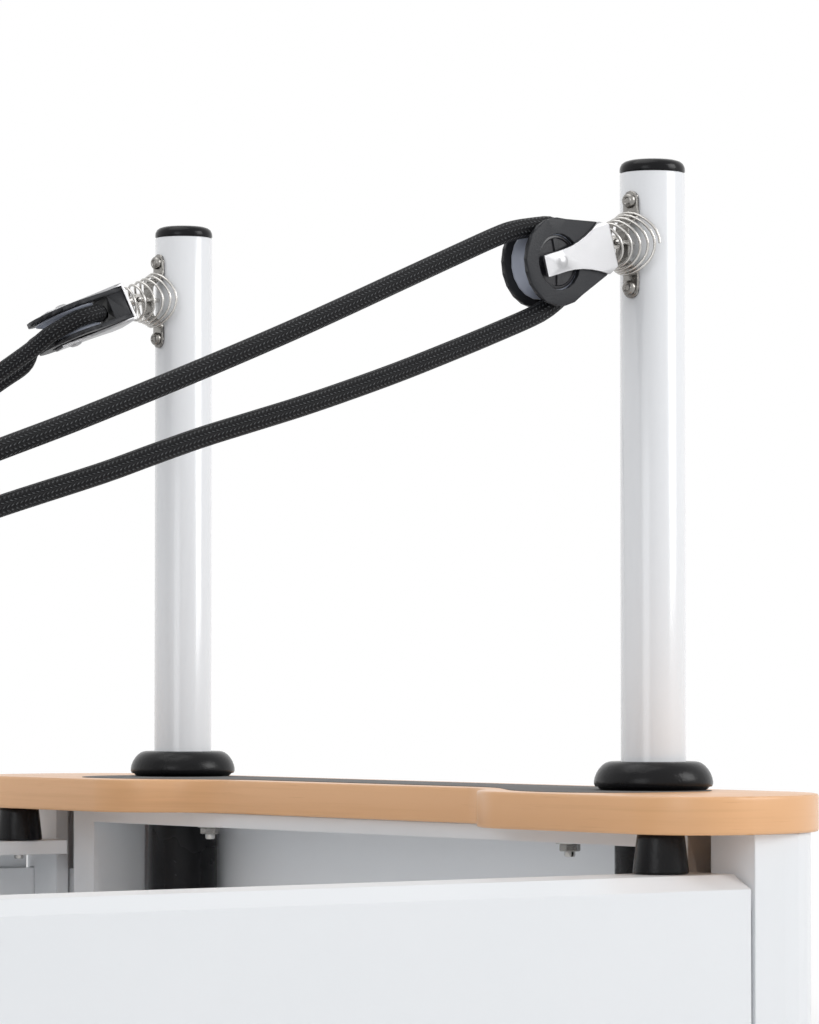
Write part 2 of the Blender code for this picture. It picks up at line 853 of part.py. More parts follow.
class BlockPlace:
    """Where a pulley block hangs: its eye strap, ring, pin and axle, and its own directions."""

    def __init__(self, side, pose, bracket_turn):
        yaw, pitch, roll = (math.radians(a) for a in pose)
        self.side = side
        self.post = Vector((post_x, side * post_y, 0))
        self.turn = Matrix.Rotation(side * math.radians(-bracket_turn), 4, "Z")
        self.eye = self.turned(-post_radius - bow_reach, 0, bracket_z)
        self.level = Vector((-math.cos(yaw), side * math.sin(yaw), 0))
        self.cross = Vector((-self.level.y, self.level.x, 0))
        self.pin = self.eye + self.level * ring_reach
        self.out = self.level * math.cos(pitch) - Vector((0, 0, 1)) * math.sin(pitch)
        rise = self.level * math.sin(pitch) + Vector((0, 0, 1)) * math.cos(pitch)
        self.axle = self.pin + self.out * (axle_to_head + head_to_pin)
        self.through = self.cross * math.cos(roll) + rise * math.sin(roll)
        self.width = rise * math.cos(roll) - self.cross * math.sin(roll)
        self.toward = -self.out

    def turned(self, x, y, z):
        """A point given from the post's axis, turned with the eye strap."""
        return self.post + self.turn @ Vector((x, y, z))


def turn_shape(bm, place):
    """Turn a shape built at the post's foot side into the eye strap's own direction."""
    bmesh.ops.rotate(bm, cent=place.post, matrix=place.turn, verts=bm.verts)
    return bm


def build_eye_straps():
    """Bent strips on the posts, each with its two screws, and a bow that the block's ring hooks round."""
    half = bracket_length / 2
    rest = post_radius + seat_gap
    bow = post_radius + bow_reach - bracket_thickness / 2
    waist, wide = bracket_bow_width / 2, bracket_width / 2
    ends = arc((0, half - wide), wide, 0, 180, 6)
    top = [(waist, 0.009), (wide, 0.015)] + ends + [(-wide, 0.015), (-waist, 0.009)]
    outline = top + [(-y, -z) for y, z in top]
    corners = [(rest, -half, 0), (rest, -0.0145, 0.003), (bow, -0.0085, 0.004),
               (bow, 0.0085, 0.004), (rest, 0.0145, 0.003), (rest, half, 0)]
    bend = walled(rounded(corners, steps=3, closed=False), -bracket_thickness)
    screw = [(0, -0.009), (screw_shank_radius, -0.009), (screw_shank_radius, -0.0005),
             (screw_head_radius, -0.0005), (screw_head_radius, 0.0008), (screw_head_radius * 0.72, 0.002),
             (0, 0.0024)]
    face = post_x - rest - bracket_thickness
    for place, word in ((near_block, "near"), (far_block, "far")):
        y0 = place.post.y
        bm = prism(bmesh.new(), [(post_x - s, bracket_z + z) for s, z in bend], "xz",
                   y0 - bracket_width / 2, y0 + bracket_width / 2)
        strap = solid(f"eye_strap_{word}", turn_shape(bm, place), steel())
        shape = prism(bmesh.new(), [(y0 + y, bracket_z + z) for y, z in outline], "yz", post_x - 0.04, post_x)
        combine(strap, turn_shape(shape, place), "INTERSECT")
        screws = bmesh.new()
        for step in (-1, 1):
            height = bracket_z + step * bracket_screw_spacing / 2
            turned(screws, screw, (face, y0, height), (-1, 0, 0), 8)
        join(strap, turn_shape(screws, place))


def build_ring(place, word):
    """A closed D-ring: round behind the eye strap's bow, straight in front as the block's pin."""
    radius = math.hypot(bracket_bow_width / 2, bracket_thickness / 2) + seat_gap + ring_wire / 2
    corner = 0.0015
    path = arc((0, 0), radius, 90, 270, 8)
    path += arc((ring_reach - corner, -radius + corner), corner, -90, 0, 2)
    path += arc((ring_reach - corner, radius - corner), corner, 0, 90, 2)
    points = [place.eye + place.level * u + place.cross * v for u, v in path]
    tube(f"pulley_ring_{word}", [points], ring_wire / 2, steel(), 1, f"swing_{word}", cyclic=True)


def build_swivel(place, word):
    """The swivel head: a barrel on the ring's pin and a headed stem into the block."""
    button_end = head_to_pin + axle_to_head - button_from_axle
    stem_end = button_end - button_thickness
    bm = turned(bmesh.new(), [(0, 0), (stem_radius, 0), (stem_radius, stem_end),
                              (button_radius, stem_end), (button_radius, button_end), (0, button_end)],
                place.pin, place.out, 10)
    head = solid(f"swivel_head_{word}", bm, steel(), f"tilt_{word}")
    barrel = rod(bmesh.new(), place.pin - place.cross * 0.0033, place.pin + place.cross * 0.0033,
                 barrel_radius, 12)
    join(head, barrel, f"tilt_{word}")
    bore = rod(bmesh.new(), place.pin - place.cross * 0.006, place.pin + place.cross * 0.006,
               ring_wire / 2 + seat_gap, 12)
    cut(head, bore, f"tilt_{word}")


def cheek_outline():
    """Side plate of the block: a disc running out to a chamfered head."""
    head = axle_to_head - 0.0012
    shoulder, nose = 0.0142, 0.0112
    start = 62
    disc = arc((0, 0), cheek_radius, start, 360 - start, 14)
    return [(head, nose), (head - 0.006, shoulder)] + disc + [(head - 0.006, -shoulder), (head, -nose)]


def strap_outline():
    """Side strap of the block: narrow and straight at the axle, flared at the head."""
    tail, straight, shoulder = -0.0112, 0.002, axle_to_head - 0.0062
    narrow, wide, nose = 0.0056, 0.0138, 0.0113
    top = [(axle_to_head, nose), (shoulder, wide)]
    steps = 5
    for i in range(1, steps + 1):
        share = 1 - i / steps
        top.append((straight + (shoulder - straight) * share, narrow + (wide - narrow) * share ** 1.9))
    top.append((tail, narrow))
    return top + [(a, -w) for a, w in reversed(top)]


def build_block(place, word):
    """Cheeks with their head block, the bent strap with its rivet, and the sheave."""
    inner = sheave_width / 2 + 0.0005
    outer = inner + cheek_thickness
    hold = f"swivel_{word}"

    def across(bm, outline, low, high):
        return slab(bm, outline, place.axle, place.toward, place.width, place.through, low, high)

    def drill(bm, start, end, radius, segments=10):
        return rod(bm, place.axle + start, place.axle + end, radius, segments)

    cheeks = solid(f"pulley_cheeks_{word}", across(bmesh.new(), cheek_outline(), inner, outer),
                   grey_plastic(), hold)
    join(cheeks, across(bmesh.new(), cheek_outline(), -outer, -inner), hold)
    head = axle_to_head - 0.0012
    foot = head_block_from_axle
    block = [(foot, -0.0108), (head - 0.0003, -0.0108), (head - 0.0003, 0.0108), (foot, 0.0108)]
    join(cheeks, across(bmesh.new(), block, -inner - 0.001, inner + 0.001), hold)
    window = drill(bmesh.new(), place.through * 0.02, place.through * -0.02, window_radius, 20)
    cut(cheeks, window, hold)
    stem = drill(bmesh.new(), place.toward * 0.030, place.toward * 0.05, stem_radius + seat_gap)
    cut(cheeks, stem, hold)
    pocket_end = button_from_axle + button_thickness + seat_gap
    cut(cheeks, drill(bmesh.new(), place.toward * (foot - 0.002), place.toward * pocket_end,
                      button_radius + seat_gap), hold)

    near = outer + seat_gap
    far = near + strap_thickness
    strap = solid(f"pulley_strap_{word}", across(bmesh.new(), strap_outline(), near, far), steel(), hold)
    join(strap, across(bmesh.new(), strap_outline(), -far, -near), hold)
    bridge = [(axle_to_head - 0.0009, -0.0113), (axle_to_head + 0.0006, -0.0113),
              (axle_to_head + 0.0006, 0.0113), (axle_to_head - 0.0009, 0.0113)]
    join(strap, across(bmesh.new(), bridge, -far + 0.0002, far - 0.0002), hold)
    rivet_head = [(0, 0.0016), (0.0028, 0.0012), (0.0044, 0)]
    profile = [(r, far + h) for r, h in rivet_head] + [(block_axle_radius, far - 0.0002)]
    profile += [(r, -h) for r, h in reversed(profile)]
    join(strap, turned(bmesh.new(), profile, place.axle, place.through, 12), hold)
    cut(strap, drill(bmesh.new(), place.toward * 0.03, place.toward * 0.05, stem_radius + seat_gap), hold)

    half = sheave_width / 2
    bore = block_axle_radius + seat_gap
    groove = [(rope_wrap_radius - h, w) for h, w in arc((0, 0), rope_radius + groove_play, -82, 82, 5)]
    profile = [(bore, -half), (sheave_radius - 0.0006, -half)] + groove
    profile += [(sheave_radius - 0.0006, half), (bore, half)]
    pivot(f"sheave_{word}", place.axle, hold)
    solid(f"sheave_{word}", turned(bmesh.new(), profile, place.axle, place.through, 20),
          material("sheave_plastic", (0.62, 0.65, 0.72), 0.3), f"sheave_{word}")


def build_stand_spring(place, word):
    """A conical spring from the post to the block's head: wide end round the eye strap."""
    points = []
    per_curl = 8
    count = round(stand_curls * per_curl)
    seat = place.axle + place.toward * (axle_to_head + 0.0006 + seat_gap + stand_wire / 2)
    sideways, upward = place.through, place.width
    if abs(sideways.z) > abs(upward.z):
        sideways, upward = place.width, place.through
    if upward.z < 0:
        upward = -upward
    if sideways.y * place.side < 0:
        sideways = -sideways
    for i in range(count + 1):
        share = i / count
        angle = 2 * math.pi * stand_curls * share
        radius = stand_wide_radius + (stand_narrow_radius - stand_wide_radius) * share
        c, s = math.cos(angle), math.sin(angle)
        hug = stand_saddle_side + (stand_saddle_top - stand_saddle_side) * s * s
        wide = place.turned(-hug, place.side * radius * c, bracket_z + radius * s)
        narrow = seat + (sideways * c + upward * s) * radius
        points.append(wide.lerp(narrow, share ** stand_crowding))
    tube(f"stand_up_spring_{word}", [points], stand_wire / 2, steel(), 1)
    report_gap(f"stand_up_spring_{word}", points, stand_wire, per_curl)


def report_gap(name, points, wire, per_curl):
    """Print the least clear distance between the turns of a wound wire."""
    least = min((p - q).length for i, p in enumerate(points)
                for q in points[i + per_curl // 2 + 1:])
    print(f"{name}: least gap between turns {1000 * (least - wire):.2f} mm")


def build_pulleys():
    build_eye_straps()
    for place, word in ((near_block, "near"), (far_block, "far")):
        pivot(f"swing_{word}", place.eye)
        pivot(f"tilt_{word}", place.pin, f"swing_{word}")
        pivot(f"swivel_{word}", place.axle, f"tilt_{word}")
        build_ring(place, word)
        build_swivel(place, word)
        build_block(place, word)
        build_stand_spring(place, word)


# Ropes

def rope_wrap(place, leaving, sag):
    """Rope round the sheave's head side, between two leaving angles in degrees, and its tails."""
    steps = 9
    tail = 3.5 * rope_radius
    angles = [math.radians(leaving[0] + (leaving[1] - leaving[0]) * i / steps) for i in range(steps + 1)]
    points = [place.axle + (place.toward * math.cos(a) + place.width * math.sin(a)) * rope_wrap_radius
              for a in angles]
    start = place.width * math.cos(angles[0]) - place.toward * math.sin(angles[0])
    end = place.toward * math.sin(angles[-1]) - place.width * math.cos(angles[-1])
    first = points[0] + start * tail - Vector((0, 0, sag[0]))
    last = points[-1] + end * tail - Vector((0, 0, sag[1]))
    return [first] + points + [last]


def ring_end(side):
    """End of the handle ring's knob, where the rope starts."""
    along = Vector((ring_x - shoulder_post_x, side * (ring_y - shoulder_y), 0)).normalized()
    return Vector((ring_x, side * ring_y, ring_z)) + along * (handle_ring_radius + 0.008)


def rope_start(side):
    """The rope's first points, straight out of the handle ring's knob."""
    along = (ring_end(side) - Vector((ring_x, side * ring_y, ring_z))).normalized()
    return [ring_end(side) + along * reach for reach in (seat_gap, 2.5 * rope_radius)]


def lug_end(side):
    """The rope's last points, square to the lug on the carriage's head end."""
    face = carriage_head + lug_thickness
    return [Vector((face + reach, side * cleat_y, cleat_z)) for reach in (2.5 * rope_radius, seat_gap)]


def build_ropes():
    """Each rope runs from a handle ring over its pulley to the cleat on the carriage."""
    upper = [(0.9913, -0.2291, 0.6112), (0.9249, -0.2366, 0.5848), (0.8588, -0.2438, 0.5584),
             (0.7960, -0.2499, 0.5346), (0.7356, -0.2556, 0.5126), (0.6781, -0.2602, 0.4927),
             (0.560, -0.2610, 0.4520), (0.430, -0.2430, 0.4130), (0.350, -0.2200, 0.3910)]
    lower = [(0.9913, -0.2291, 0.5628), (0.9249, -0.2366, 0.5399), (0.8588, -0.2438, 0.5196),
             (0.7960, -0.2499, 0.5022), (0.7356, -0.2556, 0.4832), (0.6781, -0.2602, 0.4666),
             (0.560, -0.2620, 0.4270), (0.450, -0.2530, 0.3905)]
    route = rope_start(-1) + upper[::-1] + rope_wrap(near_block, near_leaving, near_sag) + lower + lug_end(-1)
    line = smooth_line(route, 8 * rope_radius)
    tube("rope_near", [line], rope_radius, cord_black())
    print(f"rope_near: {line_length(line):.3f} m in {len(line)} points")
    camera_side = [(0.9994, 0.2145, 0.5826), (0.9849, 0.2178, 0.5718), (0.9580, 0.2235, 0.5530),
                   (0.9200, 0.2300, 0.5290), (0.8600, 0.2370, 0.4950), (0.7600, 0.2420, 0.4460),
                   (0.6500, 0.2420, 0.4070), (0.5400, 0.2350, 0.3850), (0.4300, 0.2220, 0.3770),
                   (0.3500, 0.2110, 0.3775)]
    wall_side = [(1.0111, 0.2461, 0.5738), (0.9961, 0.2488, 0.5632), (0.9600, 0.2560, 0.5380),
                 (0.9200, 0.2620, 0.5120), (0.8600, 0.2690, 0.4780), (0.7800, 0.2740, 0.4350),
                 (0.6700, 0.2740, 0.3980), (0.5600, 0.2650, 0.3740), (0.4500, 0.2500, 0.3640)]
    route = rope_start(1) + camera_side[::-1] + rope_wrap(far_block, far_leaving, far_sag)
    route += wall_side + lug_end(1)
    line = smooth_line(route, 8 * rope_radius)
    tube("rope_far", [line], rope_radius, cord_black())
    print(f"rope_far: {line_length(line):.3f} m in {len(line)} points")


# Carriage

def build_carriage_frame():
    """A tube frame between the rails: stub axles, spring tabs, rope lugs and shoulder posts."""
    top = frame_bottom + frame_tube
    outer = frame_inner + frame_tube
    bm = box(bmesh.new(), (carriage_foot, -outer, frame_bottom), (carriage_foot + frame_tube, outer, top))
    frame = solid("carriage_frame", bm, white_paint(), "carriage")

    def weld(shape):
        join(frame, shape, "carriage")

    for side in (-1, 1):
        y0, y1 = sorted((side * frame_inner, side * outer))
        weld(box(bmesh.new(), (carriage_foot + 0.001, y0, frame_bottom), (carriage_head - 0.001, y1, top)))
    for x0 in (shoulder_post_x - frame_tube / 2, carriage_head - frame_tube):
        weld(box(bmesh.new(), (x0, -outer + 0.001, frame_bottom), (x0 + frame_tube, outer - 0.001, top)))
    stubs = bmesh.new()
    wheel_face = wheel_inner + wheel_flange_width + wheel_width + seat_gap
    boss, stop = 2 * stub_radius, wheel_inner - seat_gap
    for x0 in wheel_places:
        for side in (-1, 1):
            turned(stubs, [(0, outer - 0.002), (boss, outer - 0.002), (boss, stop), (stub_radius, stop),
                           (stub_radius, wheel_face), (boss, wheel_face), (boss, wheel_face + 0.004),
                           (0, wheel_face + 0.004)], (x0, 0, wheel_axle_z), (0, side, 0), 8)
    weld(stubs)
    tabs, holes = bmesh.new(), bmesh.new()
    for y0 in spring_places:
        box(tabs, (spring_head_x - tab_half, y0 - 0.003, spring_height - tab_half),
            (spring_head_x + tab_half, y0 + 0.003, frame_bottom + 0.001))
        rod(holes, (spring_head_x, y0 - 0.01, spring_height), (spring_head_x, y0 + 0.01, spring_height),
            spring_wire, 8)
    weld(tabs)
    cut(frame, holes, "carriage")
    lugs = bmesh.new()
    for side in (-1, 1):
        y0, y1 = side * cleat_y - lug_half, side * cleat_y + lug_half
        outline = [(carriage_head - 0.002, frame_bottom + 0.004),
                   (carriage_head + lug_thickness, frame_bottom + 0.004),
                   (carriage_head + lug_thickness, cleat_z + lug_half),
                   (carriage_head + seat_gap, cleat_z + lug_half),
                   (carriage_head + seat_gap, top - 0.001), (carriage_head - 0.002, top - 0.001)]
        prism(lugs, outline, "xz", y0, y1)
    weld(lugs)
    for side in (-1, 1):
        y0 = side * shoulder_y
        weld(turned(bmesh.new(), [(0, top - 0.002), (shoulder_post_radius, top - 0.002),
                                  (shoulder_post_radius, shoulder_top - 0.012), (0, shoulder_top - 0.010)],
                    (shoulder_post_x, y0, 0), (0, 0, 1), 12))
        weld(box(bmesh.new(), (shoulder_plate_x, y0 - 0.035, shoulder_bottom + 0.015),
                 (shoulder_plate_x + shoulder_plate, y0 + 0.035, shoulder_top - 0.015)))
        weld(box(bmesh.new(), (shoulder_plate_x + shoulder_plate / 2, y0 - 0.006, shoulder_bottom + 0.030),
                 (shoulder_post_x, y0 + 0.006, shoulder_top - 0.030)))


def build_carriage_wheels():
    """Flanged wheels that roll on the rails' top flanges, flange inside the lip."""
    for x0, end in zip(wheel_places, ("foot", "head")):
        for side, word in ((-1, "near"), (1, "far")):
            name = f"{end}_{word}"
            start = (x0, side * wheel_inner, wheel_axle_z)
            pivot(f"wheel_{name}", start, "carriage")
            bore = stub_radius + seat_gap
            profile = [(bore, 0), (wheel_flange_radius, 0), (wheel_flange_radius, wheel_flange_width),
                       (wheel_radius, wheel_flange_width),
                       (wheel_radius, wheel_flange_width + wheel_width),
               (bore, wheel_flange_width + wheel_width)]
            bm = turned(bmesh.new(), profile, start, (0, side, 0), 16)
            solid(f"carriage_wheel_{name}", bm, grey_plastic(), f"wheel_{name}")


def cushion(bm, low, high, crown, draw, radius, along=8, across=6):
    """A padded block: crowned top, sides drawn in between rounded corners, flat base."""
    middle = ((low[0] + high[0]) / 2, (low[1] + high[1]) / 2)
    half = ((high[0] - low[0]) / 2, (high[1] - low[1]) / 2)
    corners = [(-1, -1), (1, -1), (1, 1), (-1, 1)]
    outline = []
    for k, (sx, sy) in enumerate(corners):
        centre = (sx * (half[0] - radius), sy * (half[1] - radius))
        start = {(-1, -1): 180, (1, -1): 270, (1, 1): 0, (-1, 1): 90}[(sx, sy)]
        outline += arc(centre, radius, start, start + 90, 3)
        tx, ty = corners[(k + 1) % 4]
        steps = along if sy == ty else across
        finish = (tx * (half[0] - radius), ty * (half[1] - radius))
        if sy == ty:
            side_start, side_end = (centre[0], sy * half[1]), (finish[0], ty * half[1])
        else:
            side_start, side_end = (sx * half[0], centre[1]), (tx * half[0], finish[1])
        for i in range(1, steps):
            share = i / steps
            pull = draw * math.sin(math.pi * share)
            x = side_start[0] + (side_end[0] - side_start[0]) * share
            y = side_start[1] + (side_end[1] - side_start[1]) * share
            if sy == ty:
                y -= sy * pull
            else:
                x -= sx * pull
            outline.append((x, y))
    height = high[2] - low[2] - crown
    levels = [(1.0, 0.0, 0.0), (1.0, 0.14, 1.2), (1.0, 0.50, 1.6), (1.0, 0.86, 1.0), (0.96, 1.0, 0.0)]
    rings = []
    bulge = 0.003
    for scale, level, swell in levels:
        row = []
        for x, y in outline:
            reach = math.hypot(x, y)
            grow = scale + (swell - 1.0) * bulge / reach - 0.6 * bulge / reach
            lift = 0.0
            if scale < 1.0:
                u, v = x * scale / half[0], y * scale / half[1]
                lift = crown * max(0.0, 1 - u * u) * max(0.0, 1 - v * v)
            row.append(bm.verts.new((middle[0] + x * grow, middle[1] + y * grow,
                                     low[2] + height * level + lift)))
        rings.append(row)
    for scale in (0.60,):
        row = []
        for x, y in outline:
            u, v = x * scale / half[0], y * scale / half[1]
            lift = crown * max(0.0, 1 - u * u) * max(0.0, 1 - v * v)
            row.append(bm.verts.new((middle[0] + x * scale, middle[1] + y * scale, low[2] + height + lift)))
        rings.append(row)
    count = len(outline)
    for one, two in zip(rings, rings[1:]):
        for i in range(count):
            j = (i + 1) % count
            bm.faces.new((one[i], one[j], two[j], two[i]))
    bm.faces.new(rings[0][::-1])
    top = bm.verts.new((middle[0], middle[1], low[2] + height + crown))
    for i in range(count):
        bm.faces.new((rings[-1][i], rings[-1][(i + 1) % count], top))
    return bm


def build_deck():
    """Deck board, long cushion, and the headrest on its own hinged board."""
    corners = [(carriage_foot, -deck_half_width, 0.02), (carriage_head, -deck_half_width, 0.02),
               (carriage_head, deck_half_width, 0.02), (carriage_foot, deck_half_width, 0.02)]
    bm = prism(bmesh.new(), rounded(corners, steps=3), "xy", deck_bottom, deck_top)
    deck = solid("deck_board", bm, beech(), "carriage")
    holes = bmesh.new()
    for side in (-1, 1):
        rod(holes, (shoulder_post_x, side * shoulder_y, deck_bottom - 0.01),
            (shoulder_post_x, side * shoulder_y, deck_top + 0.01), shoulder_post_radius + running_gap, 12)
    cut(deck, holes, "carriage")
    ears = bmesh.new()
    for side in (-1, 1):
        y0, y1 = sorted(side * (headrest_board_half + gap) for gap in (seat_gap, seat_gap + ear_thickness))
        outline = arc((headrest_foot, headrest_axis_z), headrest_barrel, 0, 180, 6)
        outline += [(headrest_foot - headrest_barrel, deck_top - 0.001),
                    (headrest_foot + headrest_barrel, deck_top - 0.001)]
        prism(ears, outline, "xz", y0, y1)
    join(deck, ears, "carriage")
    reach = headrest_board_half + ear_thickness / 2
    join(deck, rod(bmesh.new(), (headrest_foot, -reach, headrest_axis_z),
                   (headrest_foot, reach, headrest_axis_z), headrest_pin_radius, 12), "carriage")
    bm = cushion(bmesh.new(),
                 (carriage_foot + cushion_inset, -deck_half_width + cushion_inset, cushion_bottom),
                 (cushion_head, deck_half_width - cushion_inset, cushion_bottom + cushion_thickness),
                 0.005, 0.004, 0.030, 8, 6)
    solid("deck_cushion", bm, vinyl(), "carriage", 50)

    pivot("headrest", (headrest_foot, 0, headrest_axis_z), "carriage")
    board_low = headrest_axis_z - headrest_barrel
    barrel = arc((headrest_foot, headrest_axis_z), headrest_barrel, 90, 270, 6)
    outline = barrel + [(headrest_head, board_low), (headrest_head, board_low + headrest_board_thickness)]
    headrest = solid("headrest", prism(bmesh.new(), outline, "xz", -headrest_board_half, headrest_board_half),
                     vinyl(), "headrest", 50)
    low = board_low + headrest_board_thickness - seat_gap
    pad = cushion(bmesh.new(), (headrest_foot + 0.002, -headrest_half_width, low),
                  (headrest_head + 0.004, headrest_half_width, low + headrest_cushion_thickness),
                  0.005, 0.003, 0.022, 5, 5)
    join(headrest, pad, "headrest")
    bore = rod(bmesh.new(), (headrest_foot, -headrest_half_width, headrest_axis_z),
               (headrest_foot, headrest_half_width, headrest_axis_z), headrest_pin_radius + seat_gap, 12)
    cut(headrest, bore, "headrest")


def build_shoulders():
    """Upright pads on the shoulder posts' plates."""
    for side, word in ((-1, "near"), (1, "far")):
        y0 = side * shoulder_y
        bm = cushion(bmesh.new(),
                     (shoulder_x - shoulder_thickness / 2, y0 - shoulder_width / 2, shoulder_bottom),
                     (shoulder_x + shoulder_thickness / 2, y0 + shoulder_width / 2, shoulder_top),
                     0.006, 0.0, 0.016, 3, 5)
        solid(f"shoulder_pad_{word}", bm, vinyl(), "carriage", 50)


def build_loops():
    """Webbing handle loops round the shoulder posts, each with the ring that its rope holds."""
    small = webbing_thickness + 0.0017
    for side, word in ((-1, "near"), (1, "far")):
        post = Vector((shoulder_post_x, side * shoulder_y))
        hook = Vector((ring_x, side * ring_y))
        along = (hook - post).normalized()
        normal = Vector((-along.y, along.x))
        big = shoulder_post_radius + 2 * running_gap
        back = hook - along * handle_ring_radius
        path = []
        for a in range(90, 271, 30):
            angle = math.radians(a)
            path.append(tuple(post + (along * math.cos(angle) + normal * math.sin(angle)) * big))
        for a in range(-90, 91, 45):
            angle = math.radians(a)
            path.append(tuple(back + (along * math.cos(angle) + normal * math.sin(angle)) * small))
        outer = outset(path, webbing_thickness)
        bm = bmesh.new()
        rings = [[bm.verts.new((*q, z)) for q in line]
                 for line, z in ((path, -1), (path, 1), (outer, 1), (outer, -1))]
        for ring_of, sign in zip(rings, (-1, 1, 1, -1)):
            for vertex in ring_of:
                vertex.co.z = ring_z + sign * webbing_width / 2
        count = len(path)
        for one, two in zip(rings, rings[1:] + rings[:1]):
            for i in range(count):
                j = (i + 1) % count
                bm.faces.new((one[i], one[j], two[j], two[i]))
        loop = solid(f"handle_loop_{word}", bm, webbing(), "carriage")
        centre = Vector((hook.x, hook.y, ring_z))
        join(loop, ring(bmesh.new(), centre, (0, 0, 1), handle_ring_radius - handle_ring_wire / 2,
                        handle_ring_radius + handle_ring_wire / 2, -handle_ring_wire / 2,
                        handle_ring_wire / 2, 16), "carriage")
        knob = centre + Vector((along.x, along.y, 0)) * (handle_ring_radius + handle_ring_wire / 3)
        join(loop, rod(bmesh.new(), knob, ring_end(side), rope_radius - seat_gap, 12), "carriage")


# Springs, stop and foot bar

def build_springs():
    """Extension springs side by side, each one wire: hook, curls, hook."""
    bar_face = spring_bar_x + spring_bar_thickness / 2
    start, end = bar_face + spring_tail, spring_head_x - spring_tail
    per_curl = 8
    for number, y0 in enumerate(spring_places, 1):
        points = [(bar_face + 0.0025, -0.009), (bar_face + 0.0026, 0.0), (bar_face + 0.006, 0.0065),
                  (bar_face + 0.020, 0.002), (start - 0.010, 0.0)]
        points = [Vector((x, y0, spring_height + z)) for x, z in points]
        count = spring_curls * per_curl
        for i in range(count + 1):
            share = i / count
            angle = 2 * math.pi * spring_curls * share
            radius = (spring_radius - spring_wire / 2) * min(1.0, share * spring_curls * 2,
                                                             (1 - share) * spring_curls * 2)
            points.append(Vector((start + (end - start) * share, y0 + radius * math.sin(angle),
                                  spring_height + radius * math.cos(angle))))
        hook = [(end + 0.010, 0.0), (spring_head_x - 0.022, 0.001),
            (spring_head_x - tab_half - 0.0025, 0.001)]
        points += [Vector((x, y0, spring_height + z)) for x, z in hook]
        tube(f"carriage_spring_{number}", [points], spring_wire / 2, steel(), 1)
    report_gap("carriage_spring", points[5:-3], spring_wire, per_curl)


def build_spring_bar():
    """The notched bar that the springs hook on to."""
    reach = rail_outer - rail_wall - seat_gap
    low = spring_height - 0.020
    bm = box(bmesh.new(), (spring_bar_x - spring_bar_thickness / 2, -reach, low),
             (spring_bar_x + spring_bar_thickness / 2, reach, low + spring_bar_height))
    bar = solid("spring_bar", bm, white_paint(), "fold")
    slots = bmesh.new()
    for y0 in spring_places:
        box(slots, (spring_bar_x - 0.02, y0 - 0.0035, spring_height + 0.004),
            (spring_bar_x + 0.02, y0 + 0.0035, low + spring_bar_height + 0.01))
    cut(bar, slots, "fold")


def index_spot(angle):
    """Centre of an index hole, by how far the foot bar has gone over from upright."""
    turn = math.radians(90 - footbar_lean + angle)
    return (footbar_pivot_x + index_radius * math.cos(turn), footbar_pivot_z + index_radius * math.sin(turn))


def build_footbar():
    """Bent tube with a foam grip and a pull pin that finds the index holes."""
    pivot("footbar", (footbar_pivot_x, 0, footbar_pivot_z), "fold")
    lean = math.radians(90 - footbar_lean)
    up = Vector((math.cos(lean), 0, math.sin(lean)))
    base = Vector((footbar_pivot_x, 0, footbar_pivot_z))
    corners = [(-footbar_half_width, -0.020, 0), (-footbar_half_width, footbar_arm, footbar_bend),
               (footbar_half_width, footbar_arm, footbar_bend), (footbar_half_width, -0.020, 0)]
    path = rounded(corners, steps=5, closed=False)
    points = [base + Vector((0, y, 0)) + up * h for y, h in path]
    bar = as_mesh(tube("footbar", [points], footbar_radius, white_paint(), 3, "footbar"))
    holes = bmesh.new()
    for side in (-1, 1):
        rod(holes, (footbar_pivot_x, side * (footbar_half_width - 0.03), footbar_pivot_z),
            (footbar_pivot_x, side * (footbar_half_width + 0.03), footbar_pivot_z),
            footbar_stud_radius + seat_gap, 16)
    x0, z0 = index_spot(0.0)
    rod(holes, (x0, -footbar_half_width - 0.03, z0), (x0, -footbar_half_width + 0.03, z0),
        plunger_radius + seat_gap, 12)
    cut(bar, holes, "footbar")
    top = base + up * footbar_arm
    grip = ring(bmesh.new(), top, (0, 1, 0), footbar_radius + seat_gap, grip_radius,
                -grip_half_length, grip_half_length, 24)
    solid("footbar_grip", grip, black_rubber(), "footbar")

    pivot("plunger", (x0, -footbar_half_width, z0), "footbar")
    tip = plate_face - seat_gap
    inner = footbar_half_width - footbar_radius - seat_gap
    pin = turned(bmesh.new(), [(0, tip), (plunger_radius - 0.001, tip), (plunger_radius, tip - 0.0015),
                               (plunger_radius, inner), (0.006, inner), (0.006, inner - 0.010),
                               (plunger_knob_radius, inner - 0.012), (plunger_knob_radius, inner - 0.024),
                               (0.006, inner - 0.027), (0, inner - 0.027)],
                 (x0, 0, z0), (0, -1, 0), 12)
    solid("footbar_pin", pin, black_plastic(), "plunger")


cone_x = post_x - cone_inset
cone_y = rail_outer - cone_rail_inset
near_block = BlockPlace(-1, near_block_pose, near_bracket_turn)
far_block = BlockPlace(1, far_block_pose, far_bracket_turn)
wheel_inner = rail_inner - seat_gap - wheel_flange_width
wheel_places = (carriage_foot + wheel_inset, carriage_head - wheel_inset)
spring_places = [spring_pitch * (i - (spring_count - 1) / 2) for i in range(spring_count)]
tab_half = 0.006
spring_head_x = carriage_foot + tab_half + 0.002
shoulder_plate_x = shoulder_x + shoulder_thickness / 2 + seat_gap
shoulder_post_x = shoulder_plate_x + 0.022
shoulder_bottom = cushion_bottom + cushion_thickness + 0.004
shoulder_top = shoulder_bottom + shoulder_height
plate_face = rail_inner - plate_thickness

clear_scene()
pivot("fold", (0, 0, hinge_z))
pivot("carriage", (0, 0, rail_top))
build_rails()
build_boards()
build_cones()
build_posts()
build_end(1, "head", None)
build_end(-1, "foot", "fold")
build_middle()
build_pulleys()
build_ropes()
build_carriage_frame()
build_carriage_wheels()
build_deck()
build_shoulders()
build_loops()
build_springs()
build_spring_bar()
build_footbar()
